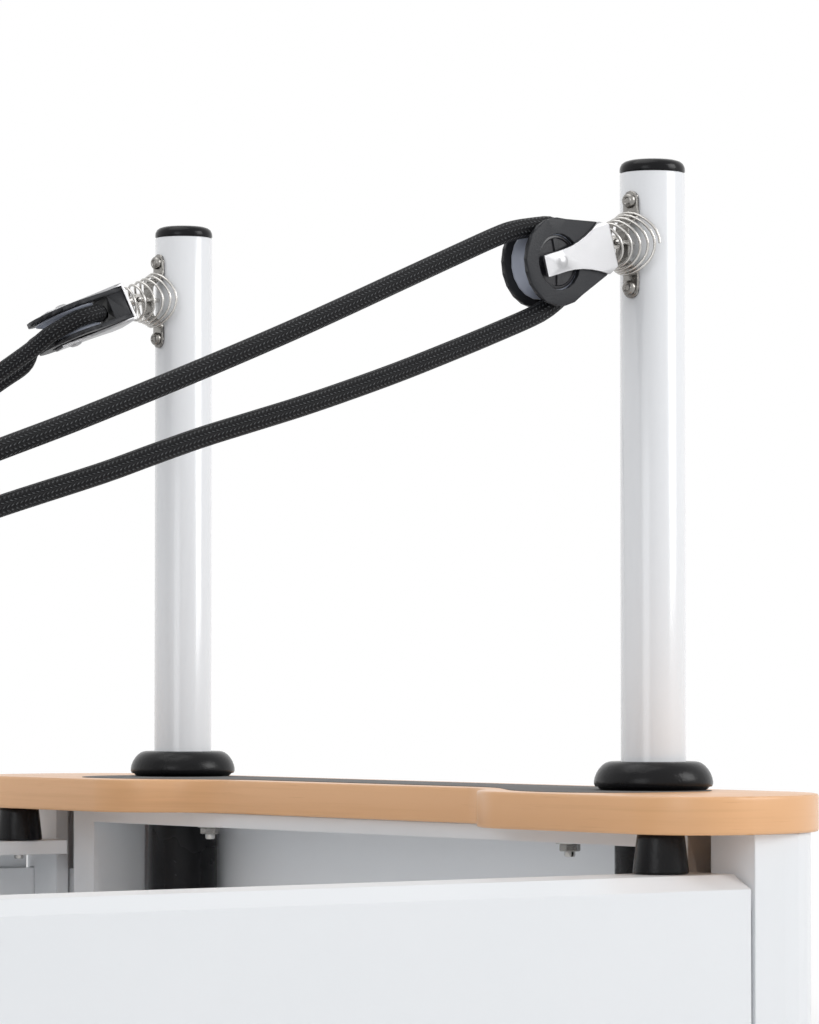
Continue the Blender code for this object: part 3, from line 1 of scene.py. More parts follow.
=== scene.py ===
"""Looks of the folding pilates reformer: materials, soft goods, ropes and small parts on the CAD frame."""
import json
import math

import bmesh
import bpy
from mathutils import Matrix, Vector


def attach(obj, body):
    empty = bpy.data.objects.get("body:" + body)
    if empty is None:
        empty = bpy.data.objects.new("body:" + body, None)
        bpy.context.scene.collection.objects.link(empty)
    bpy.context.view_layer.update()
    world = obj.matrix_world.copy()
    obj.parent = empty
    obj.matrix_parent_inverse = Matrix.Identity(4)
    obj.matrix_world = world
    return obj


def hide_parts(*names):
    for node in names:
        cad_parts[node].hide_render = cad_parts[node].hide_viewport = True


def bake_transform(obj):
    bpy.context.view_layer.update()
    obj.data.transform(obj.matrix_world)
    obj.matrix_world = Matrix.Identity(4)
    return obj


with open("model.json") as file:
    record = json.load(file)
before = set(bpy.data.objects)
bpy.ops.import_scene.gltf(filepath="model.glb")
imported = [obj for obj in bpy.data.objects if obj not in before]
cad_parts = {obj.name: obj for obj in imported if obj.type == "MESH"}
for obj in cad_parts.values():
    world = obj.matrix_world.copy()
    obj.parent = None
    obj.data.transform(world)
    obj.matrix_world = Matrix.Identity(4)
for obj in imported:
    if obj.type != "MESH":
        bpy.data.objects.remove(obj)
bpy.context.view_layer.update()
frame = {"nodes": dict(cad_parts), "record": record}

nodes = frame["nodes"]
record = frame["record"]
body_of = {node: body for body, group in record["behaviour"]["bodies"].items() for node in group}

# Sizes in metres, as the CAD model has them
post_x, post_y, post_radius = 1.105, 0.217, 0.017
board_top, board_bottom, board_arris = 0.330, 0.311, 0.0014
plate_back, plate_side, foot_board_depth = 1.147, 0.341, 0.120
recess_front, tab_front = 1.064, 1.022
recess_half_width, tab_inner_edge = 0.133, 0.168
mat_top, mat_inset, mat_half_length = 0.3303, 0.016, 0.252
cone_x, cone_y, flange_underside = 1.041, 0.298, 0.2880
crossbar_x, crossbar_nut_y, crossbar_underside = 1.090, 0.1666, 0.3023
carriage_foot, carriage_head, deck_half_width = -0.530, 0.345, 0.275
deck_bottom, deck_top = 0.3303, 0.3453
rope_radius = 0.00505
rope_wrap_x = 0.985
braid_step = 0.0030
axle_to_head = 0.0374
bracket_height = 0.6135
screw_spacing = 0.0454
screw_face = post_radius + 0.0003 + 0.0016
spring_wire = 0.0015
carriage_spring_height = 0.262


# Shader groups: each gives values that vary over the surface

def new_group(name, inputs, outputs):
    """An empty shader group with its named sockets."""
    group = bpy.data.node_groups.new(name, "ShaderNodeTree")
    for label, kind, value in inputs:
        socket = group.interface.new_socket(name=label, in_out="INPUT", socket_type=kind)
        if value is not None:
            socket.default_value = value
    for label, kind in outputs:
        group.interface.new_socket(name=label, in_out="OUTPUT", socket_type=kind)
    start, end = group.nodes.new("NodeGroupInput"), group.nodes.new("NodeGroupOutput")
    start.location, end.location = (-900, 0), (900, 0)
    return group, start, end


def place_node(tree, kind, x, y, **values):
    """A node at a place in the tree, with its settings and its unlinked sockets' values."""
    node = tree.nodes.new("ShaderNode" + kind)
    node.location = (x, y)
    for key, value in values.items():
        label = key.replace("_", " ")
        if label in node.inputs:
            node.inputs[label].default_value = value
        else:
            setattr(node, key, value)
    return node


def wire(links, *ends):
    """Join outputs to inputs, each given as node, output, node and input."""
    for source, output, target, into in ends:
        links.new(source.outputs[output], target.inputs[into])


def finish_group():
    """Fine grain and soft clouds of a painted, cast or moulded surface, with its edges rounded."""
    group, start, end = new_group(
        "surface_finish",
        [("Colour", "NodeSocketColor", None), ("Cloud Colour", "NodeSocketColor", None),
         ("Cloud Scale", "NodeSocketFloat", 9.0), ("Grain Scale", "NodeSocketFloat", 900.0),
         ("Grain Height", "NodeSocketFloat", 0.2), ("Roughness", "NodeSocketFloat", 0.4),
         ("Roughness Spread", "NodeSocketFloat", 0.1), ("Edge Radius", "NodeSocketFloat", 0.0008)],
        [("Colour", "NodeSocketColor"), ("Roughness", "NodeSocketFloat"), ("Normal", "NodeSocketVector")])
    links = group.links
    place = place_node(group, "TexCoord", -700, -200)
    clouds = place_node(group, "TexNoise", -450, 200, Detail=4.0, Roughness=0.6)
    grain = place_node(group, "TexNoise", -450, -200, Detail=2.0)
    mix = place_node(group, "Mix", 100, 250, data_type="RGBA")
    spread = place_node(group, "Math", -100, 0, operation="SUBTRACT")
    spread.inputs[1].default_value = 0.5
    rough = place_node(group, "Math", 200, 0, operation="MULTIPLY_ADD")
    rounded = place_node(group, "Bevel", 100, -400, samples=4)
    bump = place_node(group, "Bump", 450, -300, Distance=0.0006)
    wire(links, (place, "Object", clouds, "Vector"), (place, "Object", grain, "Vector"),
         (start, "Cloud Scale", clouds, "Scale"), (start, "Grain Scale", grain, "Scale"),
         (clouds, "Fac", mix, "Factor"), (start, "Colour", mix, "A"), (start, "Cloud Colour", mix, "B"),
         (clouds, "Fac", spread, 0), (spread, 0, rough, 0), (start, "Roughness Spread", rough, 1),
         (start, "Roughness", rough, 2), (start, "Edge Radius", rounded, "Radius"),
         (rounded, "Normal", bump, "Normal"), (grain, "Fac", bump, "Height"),
         (start, "Grain Height", bump, "Strength"), (mix, "Result", end, "Colour"),
         (rough, 0, end, "Roughness"), (bump, "Normal", end, "Normal"))
    return group


def beech_group():
    """Beech veneer: long darker streaks and short pores along the grain."""
    group, start, end = new_group(
        "beech_grain",
        [("Vector", "NodeSocketVector", None), ("Light", "NodeSocketColor", None),
         ("Dark", "NodeSocketColor", None), ("Streak Scale", "NodeSocketFloat", 1.0),
         ("Pore Depth", "NodeSocketFloat", 0.1)],
        [("Colour", "NodeSocketColor"), ("Roughness", "NodeSocketFloat"), ("Normal", "NodeSocketVector")])
    links = group.links
    apart = place_node(group, "SeparateXYZ", -1500, 0)
    round_edge = place_node(group, "Math", -1350, -100, operation="ADD")
    edge_way = place_node(group, "CombineXYZ", -1200, -100)
    facing = place_node(group, "NewGeometry", -1500, -350)
    upright = place_node(group, "SeparateXYZ", -1350, -350)
    flat_face = place_node(group, "Math", -1200, -350, operation="ABSOLUTE")
    on_top = place_node(group, "Math", -1050, -350, operation="GREATER_THAN")
    on_top.inputs[1].default_value = 0.6
    way = place_node(group, "Mix", -900, 0, data_type="VECTOR")
    wire(links, (start, "Vector", apart, "Vector"), (apart, "X", round_edge, 0),
         (apart, "Y", round_edge, 1), (round_edge, 0, edge_way, "X"), (apart, "Z", edge_way, "Z"),
         (facing, "True Normal", upright, "Vector"), (upright, "Z", flat_face, 0),
         (flat_face, 0, on_top, 0), (on_top, 0, way, "Factor"), (edge_way, "Vector", way, "A"),
         (start, "Vector", way, "B"))
    long_map = place_node(group, "Mapping", -700, 200, Scale=(3.0, 90.0, 160.0))
    pore_map = place_node(group, "Mapping", -700, -200, Scale=(30.0, 420.0, 900.0))
    streaks = place_node(group, "TexNoise", -450, 200, Detail=5.0, Roughness=0.65)
    pores = place_node(group, "TexNoise", -450, -200, Scale=1.0, Detail=2.0)
    clouds = place_node(group, "TexNoise", -450, 500, Scale=5.0, Detail=2.0)
    streak_ramp = place_node(group, "MapRange", -200, 200, From_Min=0.50, From_Max=0.78, To_Max=0.55)
    pore_ramp = place_node(group, "MapRange", -200, -200, From_Min=0.64, From_Max=0.76, To_Max=0.35)
    both = place_node(group, "Math", 20, 0, operation="MAXIMUM")
    soft = place_node(group, "Math", 20, 400, operation="MULTIPLY_ADD")
    soft.inputs[1].default_value = 0.30
    mix = place_node(group, "Mix", 300, 250, data_type="RGBA")
    rough = place_node(group, "MapRange", 300, 0, To_Min=0.36, To_Max=0.58)
    rounded = place_node(group, "Bevel", 100, -450, samples=4, Radius=0.0016)
    bump = place_node(group, "Bump", 450, -300, Distance=0.0004)
    bump.invert = True
    wire(links, (way, "Result", long_map, "Vector"), (way, "Result", pore_map, "Vector"),
         (way, "Result", clouds, "Vector"), (long_map, "Vector", streaks, "Vector"),
         (start, "Streak Scale", streaks, "Scale"), (pore_map, "Vector", pores, "Vector"),
         (streaks, "Fac", streak_ramp, "Value"), (pores, "Fac", pore_ramp, "Value"),
         (streak_ramp, "Result", both, 0), (pore_ramp, "Result", both, 1), (clouds, "Fac", soft, 0),
         (both, 0, soft, 2), (soft, 0, mix, "Factor"), (start, "Light", mix, "A"),
         (start, "Dark", mix, "B"), (both, 0, rough, "Value"), (rounded, "Normal", bump, "Normal"),
         (both, 0, bump, "Height"), (start, "Pore Depth", bump, "Strength"), (mix, "Result", end, "Colour"),
         (rough, "Result", end, "Roughness"), (bump, "Normal", end, "Normal"))
    return group


def chevron_group():
    """Strands laid in columns that lean one way and the other, as in a braid or a herringbone web.

    The piece's UV map gives metres along it (U) and metres across it (V)."""
    group, start, end = new_group(
        "chevron_strands",
        [("Column Width", "NodeSocketFloat", 0.0016), ("Strand Pitch", "NodeSocketFloat", 0.002),
         ("Lean", "NodeSocketFloat", 0.8)],
        [("Height", "NodeSocketFloat"), ("Crest Highlight", "NodeSocketFloat")])
    links = group.links

    def maths(x, y, operation, *values):
        node = place_node(group, "Math", x, y, operation=operation)
        for socket, value in zip(node.inputs, values):
            if isinstance(value, (int, float)):
                socket.default_value = value
            else:
                links.new(value, socket)
        return node.outputs[0]

    uv = place_node(group, "UVMap", -900, -200)
    apart = place_node(group, "SeparateXYZ", -700, -200)
    links.new(uv.outputs["UV"], apart.inputs["Vector"])
    column = maths(-500, -300, "DIVIDE", apart.outputs["Y"], start.outputs["Column Width"])
    number = maths(-350, -400, "FLOOR", column)
    within = maths(-350, -250, "FRACT", column)
    odd = maths(-200, -400, "PINGPONG", number, 1.0)
    centred = maths(-200, -250, "SUBTRACT", within, 0.5)
    sign = maths(-50, -400, "MULTIPLY_ADD", odd, 2.0, -1.0)
    slope = maths(100, -300, "MULTIPLY", sign, centred)
    lean = maths(250, -300, "MULTIPLY", slope, start.outputs["Lean"])
    along = maths(-500, 0, "DIVIDE", apart.outputs["X"], start.outputs["Strand Pitch"])
    phase = maths(300, -100, "ADD", along, lean)
    wave = maths(450, -100, "FRACT", phase)
    strand = maths(600, -100, "PINGPONG", wave, 0.5)
    edge = maths(100, -500, "ABSOLUTE", centred)
    valley = maths(250, -500, "MULTIPLY_ADD", edge, -2.0, 1.0)
    dome = maths(750, -300, "MULTIPLY", strand, valley)
    height = maths(760, -100, "MULTIPLY", dome, 2.0)
    # Crest highlight: a mask for painted highlight along the crest of each strand, in the middle of its
    # column.
    soft = maths(620, -450, "SMOOTH_MAX", valley, 0.15, 0.1)
    crest_highlight = place_node(group, "MapRange", 760, -500, From_Min=0.42, From_Max=0.88)
    doubled = maths(560, -600, "MULTIPLY", strand, 2.0)
    links.new(maths(680, -600, "MULTIPLY", doubled, soft), crest_highlight.inputs["Value"])
    links.new(height, end.inputs["Height"])
    links.new(crest_highlight.outputs["Result"], end.inputs["Crest Highlight"])
    return group


surface_finish, beech_grain, chevron_strands = finish_group(), beech_group(), chevron_group()


def new_material(name, metallic=0.0, coat=0.0, coat_roughness=0.1, specular=0.5):
    """A Principled material and its tree, with the values that are the same all over it."""
    material = bpy.data.materials.new(name)
    material.use_nodes = True
    tree = material.node_tree
    shader = tree.nodes["Principled BSDF"]
    shader.inputs["Metallic"].default_value = metallic
    shader.inputs["Coat Weight"].default_value = coat
    shader.inputs["Coat Roughness"].default_value = coat_roughness
    shader.inputs["Specular IOR Level"].default_value = specular
    return material, tree, shader


def finished(name, colour, cloud, roughness, grain=0.2, grain_scale=900.0, spread=0.1, metallic=0.0,
             coat=0.0, edge=0.0008, cloud_scale=9.0, specular=0.5):
    """A painted, moulded, cast or plated finish."""
    material, tree, shader = new_material(name, metallic, coat, specular=specular)
    finish = place_node(tree, "Group", -400, 0, node_tree=surface_finish, Colour=(*colour, 1),
                        Cloud_Colour=(*cloud, 1), Cloud_Scale=cloud_scale, Grain_Scale=grain_scale,
                        Grain_Height=grain, Roughness=roughness, Roughness_Spread=spread, Edge_Radius=edge)
    wire(tree.links, (finish, "Colour", shader, "Base Color"), (finish, "Roughness", shader, "Roughness"),
         (finish, "Normal", shader, "Normal"))
    return material


def beech(name, turn, light, dark, streak_scale):
    """Lacquered beech, with its grain turned to run along the piece."""
    material, tree, shader = new_material(name, coat=0.25, coat_roughness=0.25)
    place = place_node(tree, "TexCoord", -900, 0)
    turned = place_node(tree, "Mapping", -700, 0, Rotation=(0, 0, math.radians(turn)))
    grain = place_node(tree, "Group", -400, 0, node_tree=beech_grain, Light=(*light, 1), Dark=(*dark, 1),
                       Streak_Scale=streak_scale, Pore_Depth=0.25)
    wire(tree.links, (place, "Object", turned, "Vector"), (turned, "Vector", grain, "Vector"),
         (grain, "Colour", shader, "Base Color"), (grain, "Roughness", shader, "Roughness"),
         (grain, "Normal", shader, "Normal"))
    return material


def strands(name, dark, crest_highlight, column, pitch, lean, depth, roughness):
    """Black yarn, braided or woven, with painted highlight: a lighter colour on each strand's crest, where
    the strand would catch the light.
    """
    material, tree, shader = new_material(name, specular=0.15)
    shader.inputs["Roughness"].default_value = roughness
    shader.inputs["Sheen Weight"].default_value = 0.04
    braid = place_node(tree, "Group", -600, 0, node_tree=chevron_strands, Column_Width=column,
                       Strand_Pitch=pitch, Lean=lean)
    place = place_node(tree, "TexCoord", -900, 300)
    fuzz = place_node(tree, "TexNoise", -700, 300, Scale=700.0, Detail=2.0)
    # Painted highlight: the lighter colour is laid on the strand crests, broken up by fine noise.
    broken = place_node(tree, "Math", -300, 200, operation="MULTIPLY")
    mix = place_node(tree, "Mix", -100, 200, data_type="RGBA")
    mix.inputs["A"].default_value = (*dark, 1)
    mix.inputs["B"].default_value = (*crest_highlight, 1)
    bump = place_node(tree, "Bump", -200, -200, Distance=depth, Strength=0.9)
    wire(tree.links, (place, "Object", fuzz, "Vector"), (fuzz, "Fac", broken, 0),
         (braid, "Crest Highlight", broken, 1), (broken, 0, mix, "Factor"), (mix, "Result", shader, "Base Color"),
         (braid, "Height", bump, "Height"), (bump, "Normal", shader, "Normal"))
    return material


def grained_vinyl(name, colour, crease_shade):
    """Soft vinyl: pebbled grain, with painted shade darkening the fine creases between the pebbles."""
    material, tree, shader = new_material(name, coat=0.08, coat_roughness=0.35)
    place = place_node(tree, "TexCoord", -900, 0)
    pebbles = place_node(tree, "TexVoronoi", -700, 200, feature="DISTANCE_TO_EDGE", Scale=620.0)
    warp = place_node(tree, "TexNoise", -900, 300, Scale=60.0, Detail=3.0)
    clouds = place_node(tree, "TexNoise", -700, -200, Scale=14.0, Detail=4.0)
    ramp = place_node(tree, "MapRange", -450, 200, From_Max=0.16)
    # Painted shade: the creases between the pebbles take the darker colour.
    mix = place_node(tree, "Mix", -150, 200, data_type="RGBA")
    mix.inputs["A"].default_value = (*crease_shade, 1)
    mix.inputs["B"].default_value = (*colour, 1)
    rough = place_node(tree, "MapRange", -450, -200, To_Min=0.40, To_Max=0.62)
    bump = place_node(tree, "Bump", -150, -200, Distance=0.0002, Strength=0.5)
    wire(tree.links, (place, "Object", pebbles, "Vector"), (place, "Object", clouds, "Vector"),
         (place, "Object", warp, "Vector"), (pebbles, "Distance", ramp, "Value"),
         (ramp, "Result", mix, "Factor"), (mix, "Result", shader, "Base Color"),
         (clouds, "Fac", rough, "Value"), (rough, "Result", shader, "Roughness"),
         (ramp, "Result", bump, "Height"), (bump, "Normal", shader, "Normal"))
    return material


def grip_mat(name, colour, hollow_shade):
    """Non-slip mat: small raised dots in rows, with painted shade darkening the hollows between the dots."""
    material, tree, shader = new_material(name)
    shader.inputs["Roughness"].default_value = 0.8
    place = place_node(tree, "TexCoord", -900, 0)
    dots = place_node(tree, "TexVoronoi", -700, 0, Scale=260.0, Randomness=0.15)
    ramp = place_node(tree, "MapRange", -450, 0, From_Min=0.10, From_Max=0.42, To_Min=1.0, To_Max=0.0)
    # Painted shade: the hollows between the dots take the darker colour.
    mix = place_node(tree, "Mix", -150, 200, data_type="RGBA")
    mix.inputs["A"].default_value = (*hollow_shade, 1)
    mix.inputs["B"].default_value = (*colour, 1)
    bump = place_node(tree, "Bump", -150, -200, Distance=0.0005, Strength=0.7)
    wire(tree.links, (place, "Object", dots, "Vector"), (dots, "Distance", ramp, "Value"),
         (ramp, "Result", mix, "Factor"), (mix, "Result", shader, "Base Color"),
         (ramp, "Result", bump, "Height"), (bump, "Normal", shader, "Normal"))
    return material


white_coat = finished("white_powder_coat", (0.77, 0.79, 0.81), (0.80, 0.81, 0.83), 0.34, 0.06, 500.0, 0.06,
                      coat=0.15, edge=0.0012)
post_coat = finished("white_post_gloss", (0.78, 0.79, 0.81), (0.80, 0.81, 0.83), 0.22, 0.03, 400.0, 0.05,
                     coat=0.5, edge=0.0008)
black_rubber = finished("black_socket_rubber", (0.004, 0.004, 0.005), (0.007, 0.007, 0.008), 0.26, 0.20,
                        700.0, 0.16, edge=0.0015, specular=0.20)
black_plastic = finished("black_cap_plastic", (0.003, 0.003, 0.004), (0.006, 0.006, 0.007), 0.20, 0.08, 600.0,
                         0.08, specular=0.18)
cheek_plastic = finished("pulley_cheek_plastic", (0.020, 0.021, 0.024), (0.036, 0.037, 0.041), 0.42, 0.30,
                         1400.0, 0.12, edge=0.0006, specular=0.22)
hub_plastic = finished("sheave_hub_plastic", (0.012, 0.012, 0.015), (0.020, 0.020, 0.024), 0.30, 0.12, 1200.0,
                       0.10, edge=0.0004, specular=0.4)
wheel_plastic = finished("carriage_wheel_plastic", (0.022, 0.022, 0.025), (0.036, 0.036, 0.040), 0.42, 0.2,
                         900.0, specular=0.35)
grip_foam = finished("foot_bar_grip_foam", (0.014, 0.014, 0.016), (0.024, 0.024, 0.026), 0.80, 0.8, 1500.0,
                     0.12, specular=0.2)
sheave_plastic = finished("sheave_nylon", (0.36, 0.39, 0.47), (0.42, 0.45, 0.53), 0.30, 0.05, 800.0, 0.1,
                          edge=0.0004)
nickel = finished("nickel_plate", (0.60, 0.585, 0.56), (0.50, 0.485, 0.465), 0.20, 0.08, 1200.0, 0.14,
                  metallic=1.0, edge=0.0003, cloud_scale=60.0)
dark_nickel = finished("dark_nickel_plate", (0.33, 0.32, 0.30), (0.22, 0.21, 0.20), 0.26, 0.10, 1200.0, 0.16,
                       metallic=1.0, edge=0.0003, cloud_scale=90.0)
satin_steel = finished("satin_strap_steel", (0.50, 0.50, 0.51), (0.43, 0.43, 0.44), 0.40, 0.12, 1500.0, 0.12,
                       metallic=1.0, edge=0.0003, cloud_scale=45.0)
platform_beech = beech("platform_beech", 90.0, (0.80, 0.445, 0.215), (0.62, 0.320, 0.140), 1.0)
deck_beech = beech("deck_beech", 0.0, (0.76, 0.425, 0.200), (0.57, 0.295, 0.128), 1.0)
# The mat's second colour is painted shade in the hollows between its dots.
grey_mat = grip_mat("platform_grip_mat", (0.20, 0.198, 0.196), (0.12, 0.118, 0.116))
# The rope's and webbing's second colour is painted highlight on the crests of their strands.
rope_yarn = strands("rope_braid", (0.002, 0.002, 0.003), (0.22, 0.23, 0.24), 0.0022664, 0.0026, 1.0,
                    0.0006, 0.55)
loop_web = strands("loop_webbing", (0.010, 0.010, 0.012), (0.045, 0.045, 0.05), 0.003, 0.0016, 1.2,
                   0.0004, 0.75)
# The vinyls' second colour is painted shade in the creases of their grain.
seat_vinyl = grained_vinyl("cushion_vinyl", (0.022, 0.023, 0.026), (0.008, 0.008, 0.010))
pad_vinyl = grained_vinyl("shoulder_pad_vinyl", (0.026, 0.026, 0.030), (0.010, 0.010, 0.012))

side_signs = {"near": -1, "far": 1}


def dress(material, *names):
    """Give CAD nodes a material in place of their plain one."""
    for name in names:
        mesh = nodes[name].data
        mesh.materials.clear()
        mesh.materials.append(material)


dress(white_coat, "spring_bar", *(f"{end}_rail_{side}" for end in ("head", "foot") for side in side_signs))


# Pieces shaped by hand with Blender's own tools

soft_angle = math.radians(38)


def take_up(piece):
    """Make this the one piece that Blender's tools work on."""
    bpy.ops.object.select_all(action="DESELECT")
    piece.select_set(True)
    bpy.context.view_layer.objects.active = piece


def put_in_scene(name, data):
    """An object in the scene with this mesh, lamp or lens."""
    item = bpy.data.objects.new(name, data)
    bpy.context.scene.collection.objects.link(item)
    return item


def built_piece(name, bm, material):
    """A piece from a mesh that was built point by point."""
    mesh = bpy.data.meshes.new(name)
    bm.to_mesh(mesh)
    bm.free()
    mesh.materials.append(material)
    return put_in_scene(name, mesh)


def settle(piece, name, material, body, replaced=None):
    """Name a finished piece, give it its finish, hang it on the body it moves with, and hide the CAD parts it
    stands for.
    """
    piece.name = piece.data.name = name
    piece.data.materials.clear()
    piece.data.materials.append(material)
    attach(piece, body)
    if replaced:
        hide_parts(*replaced)
    return piece


def pick_edges(piece, test):
    """In edit mode, select the edges whose two ends pass the test."""
    bpy.ops.mesh.select_mode(type="EDGE")
    bpy.ops.mesh.select_all(action="DESELECT")
    mesh = bmesh.from_edit_mesh(piece.data)
    for edge in mesh.edges:
        edge.select_set(test(edge))
    bmesh.update_edit_mesh(piece.data)


def pick_faces(piece, test):
    """In edit mode, select the faces whose middle and normal pass the test."""
    bpy.ops.mesh.select_mode(type="FACE")
    bpy.ops.mesh.select_all(action="DESELECT")
    mesh = bmesh.from_edit_mesh(piece.data)
    mesh.faces.ensure_lookup_table()
    for face in mesh.faces:
        face.select_set(test(face.calc_center_median(), face.normal))
    bmesh.update_edit_mesh(piece.data)


def turned_piece(name, profile, place, toward, sides, material, body, replaced=None, ribs=None):
    """A round piece drawn up ring by ring from its lowest face, given each ring's radius and height."""
    bpy.ops.object.select_all(action="DESELECT")
    bpy.ops.mesh.primitive_circle_add(vertices=sides, radius=profile[0][0], fill_type="NGON",
                                      location=(0, 0, profile[0][1]))
    piece = bpy.context.object
    bpy.ops.object.transform_apply(location=True)
    bpy.ops.object.mode_set(mode="EDIT")
    bpy.ops.mesh.select_all(action="SELECT")
    for (wide, low), (next_wide, high) in zip(profile, profile[1:]):
        bpy.ops.mesh.extrude_region_move(TRANSFORM_OT_translate={"value": (0, 0, high - low)})
        bpy.ops.transform.resize(value=(next_wide / wide, next_wide / wide, 1), center_override=(0, 0, high))
    bpy.ops.mesh.select_all(action="SELECT")
    bpy.ops.mesh.normals_make_consistent(inside=False)
    if ribs:
        inner, outer, level, rise, every = ribs

        def on_rib(middle, normal):
            number = round(math.atan2(middle.y, middle.x) / (2 * math.pi / sides) - 0.5) % sides
            return (abs(middle.z - level) < 1e-5 and inner < math.hypot(middle.x, middle.y) < outer
                    and number % every < 2)

        pick_faces(piece, on_rib)
        bpy.ops.mesh.extrude_region_move(TRANSFORM_OT_translate={"value": (0, 0, rise)})
    bpy.ops.object.mode_set(mode="OBJECT")
    piece.rotation_euler = Vector(toward).to_track_quat("Z", "Y").to_euler()
    piece.location = place
    bpy.ops.object.transform_apply(location=True, rotation=True)
    bpy.ops.object.shade_smooth_by_angle(angle=soft_angle)
    return settle(piece, name, material, body, replaced)


def start_block(low, high):
    """A plain block between two corners, left in edit mode."""
    bpy.ops.object.select_all(action="DESELECT")
    bpy.ops.mesh.primitive_cube_add(size=1, location=[(a + b) / 2 for a, b in zip(low, high)],
                                    scale=[b - a for a, b in zip(low, high)])
    bpy.ops.object.transform_apply(location=True, scale=True)
    bpy.ops.object.mode_set(mode="EDIT")
    return bpy.context.object


def end_block(piece, edge):
    """Round the edges picked last, leave edit mode and keep the flat faces crisp."""
    bpy.ops.mesh.bevel(offset=edge, segments=3, affect="EDGES")
    bpy.ops.object.mode_set(mode="OBJECT")
    bpy.ops.object.shade_smooth_by_angle(angle=soft_angle)
    return piece


def rounded_block(name, low, high, edge, material, body, replaced=None, corner=0.0):
    """A bar or plate with its upright corners and then all its edges rounded."""
    piece = start_block(low, high)
    if corner:
        pick_edges(piece, lambda e: abs(e.verts[0].co.z - e.verts[1].co.z) > 1e-5)
        bpy.ops.mesh.bevel(offset=corner, segments=12, affect="EDGES")
    pick_edges(piece, lambda e: e.calc_face_angle(0) > 1.0)
    return settle(end_block(piece, edge), name, material, body, replaced)


def smoothed(material, *names):
    """Copies of CAD nodes whose curved sides shade as one round surface."""
    for name in names:
        piece = put_in_scene(name, nodes[name].data.copy())
        take_up(piece)
        bpy.ops.object.mode_set(mode="EDIT")
        bpy.ops.mesh.select_all(action="SELECT")
        bpy.ops.mesh.remove_doubles(threshold=0.00001)
        bpy.ops.object.mode_set(mode="OBJECT")
        bpy.ops.object.shade_smooth_by_angle(angle=math.radians(32))
        even = piece.modifiers.new("even_flats", "WEIGHTED_NORMAL")
        even.keep_sharp = True
        bpy.ops.object.modifier_apply(modifier=even.name)
        settle(piece, f"{name}_smooth", material, body_of[name], [name])


smoothed(white_coat, "head_leg_frame", "foot_leg_frame", "head_cover", "footbar", "carriage_frame",
         "head_hinge_bar", "foot_hinge_bar")
smoothed(nickel, "hinge_rod", *(f"{part}_{side}" for part in ("pulley_ring", "swivel_head")
                                for side in side_signs))
smoothed(black_plastic, "footbar_pin")
smoothed(dark_nickel, "eye_strap_near", "eye_strap_far")
smoothed(satin_steel, "pulley_strap_near", "pulley_strap_far")
smoothed(cheek_plastic, "pulley_cheeks_near", "pulley_cheeks_far")
smoothed(sheave_plastic, "sheave_near", "sheave_far")
smoothed(wheel_plastic, *(f"carriage_wheel_{end}_{side}" for end in ("head", "foot") for side in side_signs))
smoothed(grip_foam, "footbar_grip")
smoothed(black_rubber, *(f"{end}_foot_{side}" for end in ("head", "foot") for side in side_signs))


# Posts with their caps, sockets and the rubber cones beside them

for side, sign in side_signs.items():
    foot = (post_x, sign * post_y, 0)
    turned_piece(f"post_{side}_tube", [(0.0166, 0.195), (0.017, 0.1954), (0.017, 0.6514), (0.0166, 0.6520),
                                       (0.0150, 0.6520)],
                 foot, (0, 0, 1), 96, post_coat, "head_half", [f"post_{side}"])
    turned_piece(f"post_{side}_cap", [(0.0155, 0.6480), (0.0155, 0.6523), (0.0167, 0.6523), (0.0171, 0.6527),
                                      (0.0171, 0.6540), (0.0169, 0.6552), (0.0161, 0.6568), (0.0147, 0.6579),
                                      (0.0125, 0.6586), (0.0085, 0.6589), (0.0030, 0.6590)],
                 foot, (0, 0, 1), 72, black_plastic, "head_half", [f"post_cap_{side}"])
    turned_piece(f"post_{side}_socket",
                 [(0.0195, 0.1915), (0.0203, 0.1920), (0.0203, 0.3303), (0.0272, 0.3304), (0.0283, 0.3309),
                  (0.0290, 0.3318), (0.0305, 0.3322), (0.0310, 0.3334), (0.0310, 0.3348), (0.0306, 0.3368),
                  (0.0297, 0.3391), (0.0284, 0.3412), (0.0268, 0.3430), (0.0250, 0.3443), (0.0234, 0.3449),
                  (0.0222, 0.3451), (0.0176, 0.3451), (0.0173, 0.3446)],
                 foot, (0, 0, 1), 96, black_rubber, "head_half", [f"post_socket_{side}"])
    cone = (cone_x, sign * cone_y, 0)
    turned_piece(f"platform_cone_{side}_turned",
                 [(0.0136, 0.2913), (0.0140, 0.2917), (0.0139, 0.2935), (0.01215, 0.3085), (0.0119, 0.3103),
                  (0.0116, 0.3108)],
                 cone, (0, 0, 1), 64, black_rubber, "head_half", [f"platform_cone_{side}"])
    for label, (x, y), face in (("cone", cone[:2], flange_underside),
                                ("crossbar", (crossbar_x, sign * crossbar_nut_y), crossbar_underside)):
        for part, sides, metal, profile in (
                ("washer", 36, nickel, ((0.0072, 0.0), (0.0075, 0.0002), (0.0075, 0.0010), (0.0072, 0.0012))),
                ("nut", 6, dark_nickel,
                 ((0.0052, 0.0012), (0.0056, 0.0016), (0.0056, 0.0046), (0.0050, 0.0051))),
                ("stud", 20, nickel, ((0.0029, 0.0050), (0.0029, 0.0072), (0.0024, 0.0080)))):
            turned_piece(f"{label}_{part}_{side}", [(wide, face - drop) for wide, drop in profile],
                         (x, y, 0), (0, 0, 1), sides, metal, "head_half")


# Wooden boards

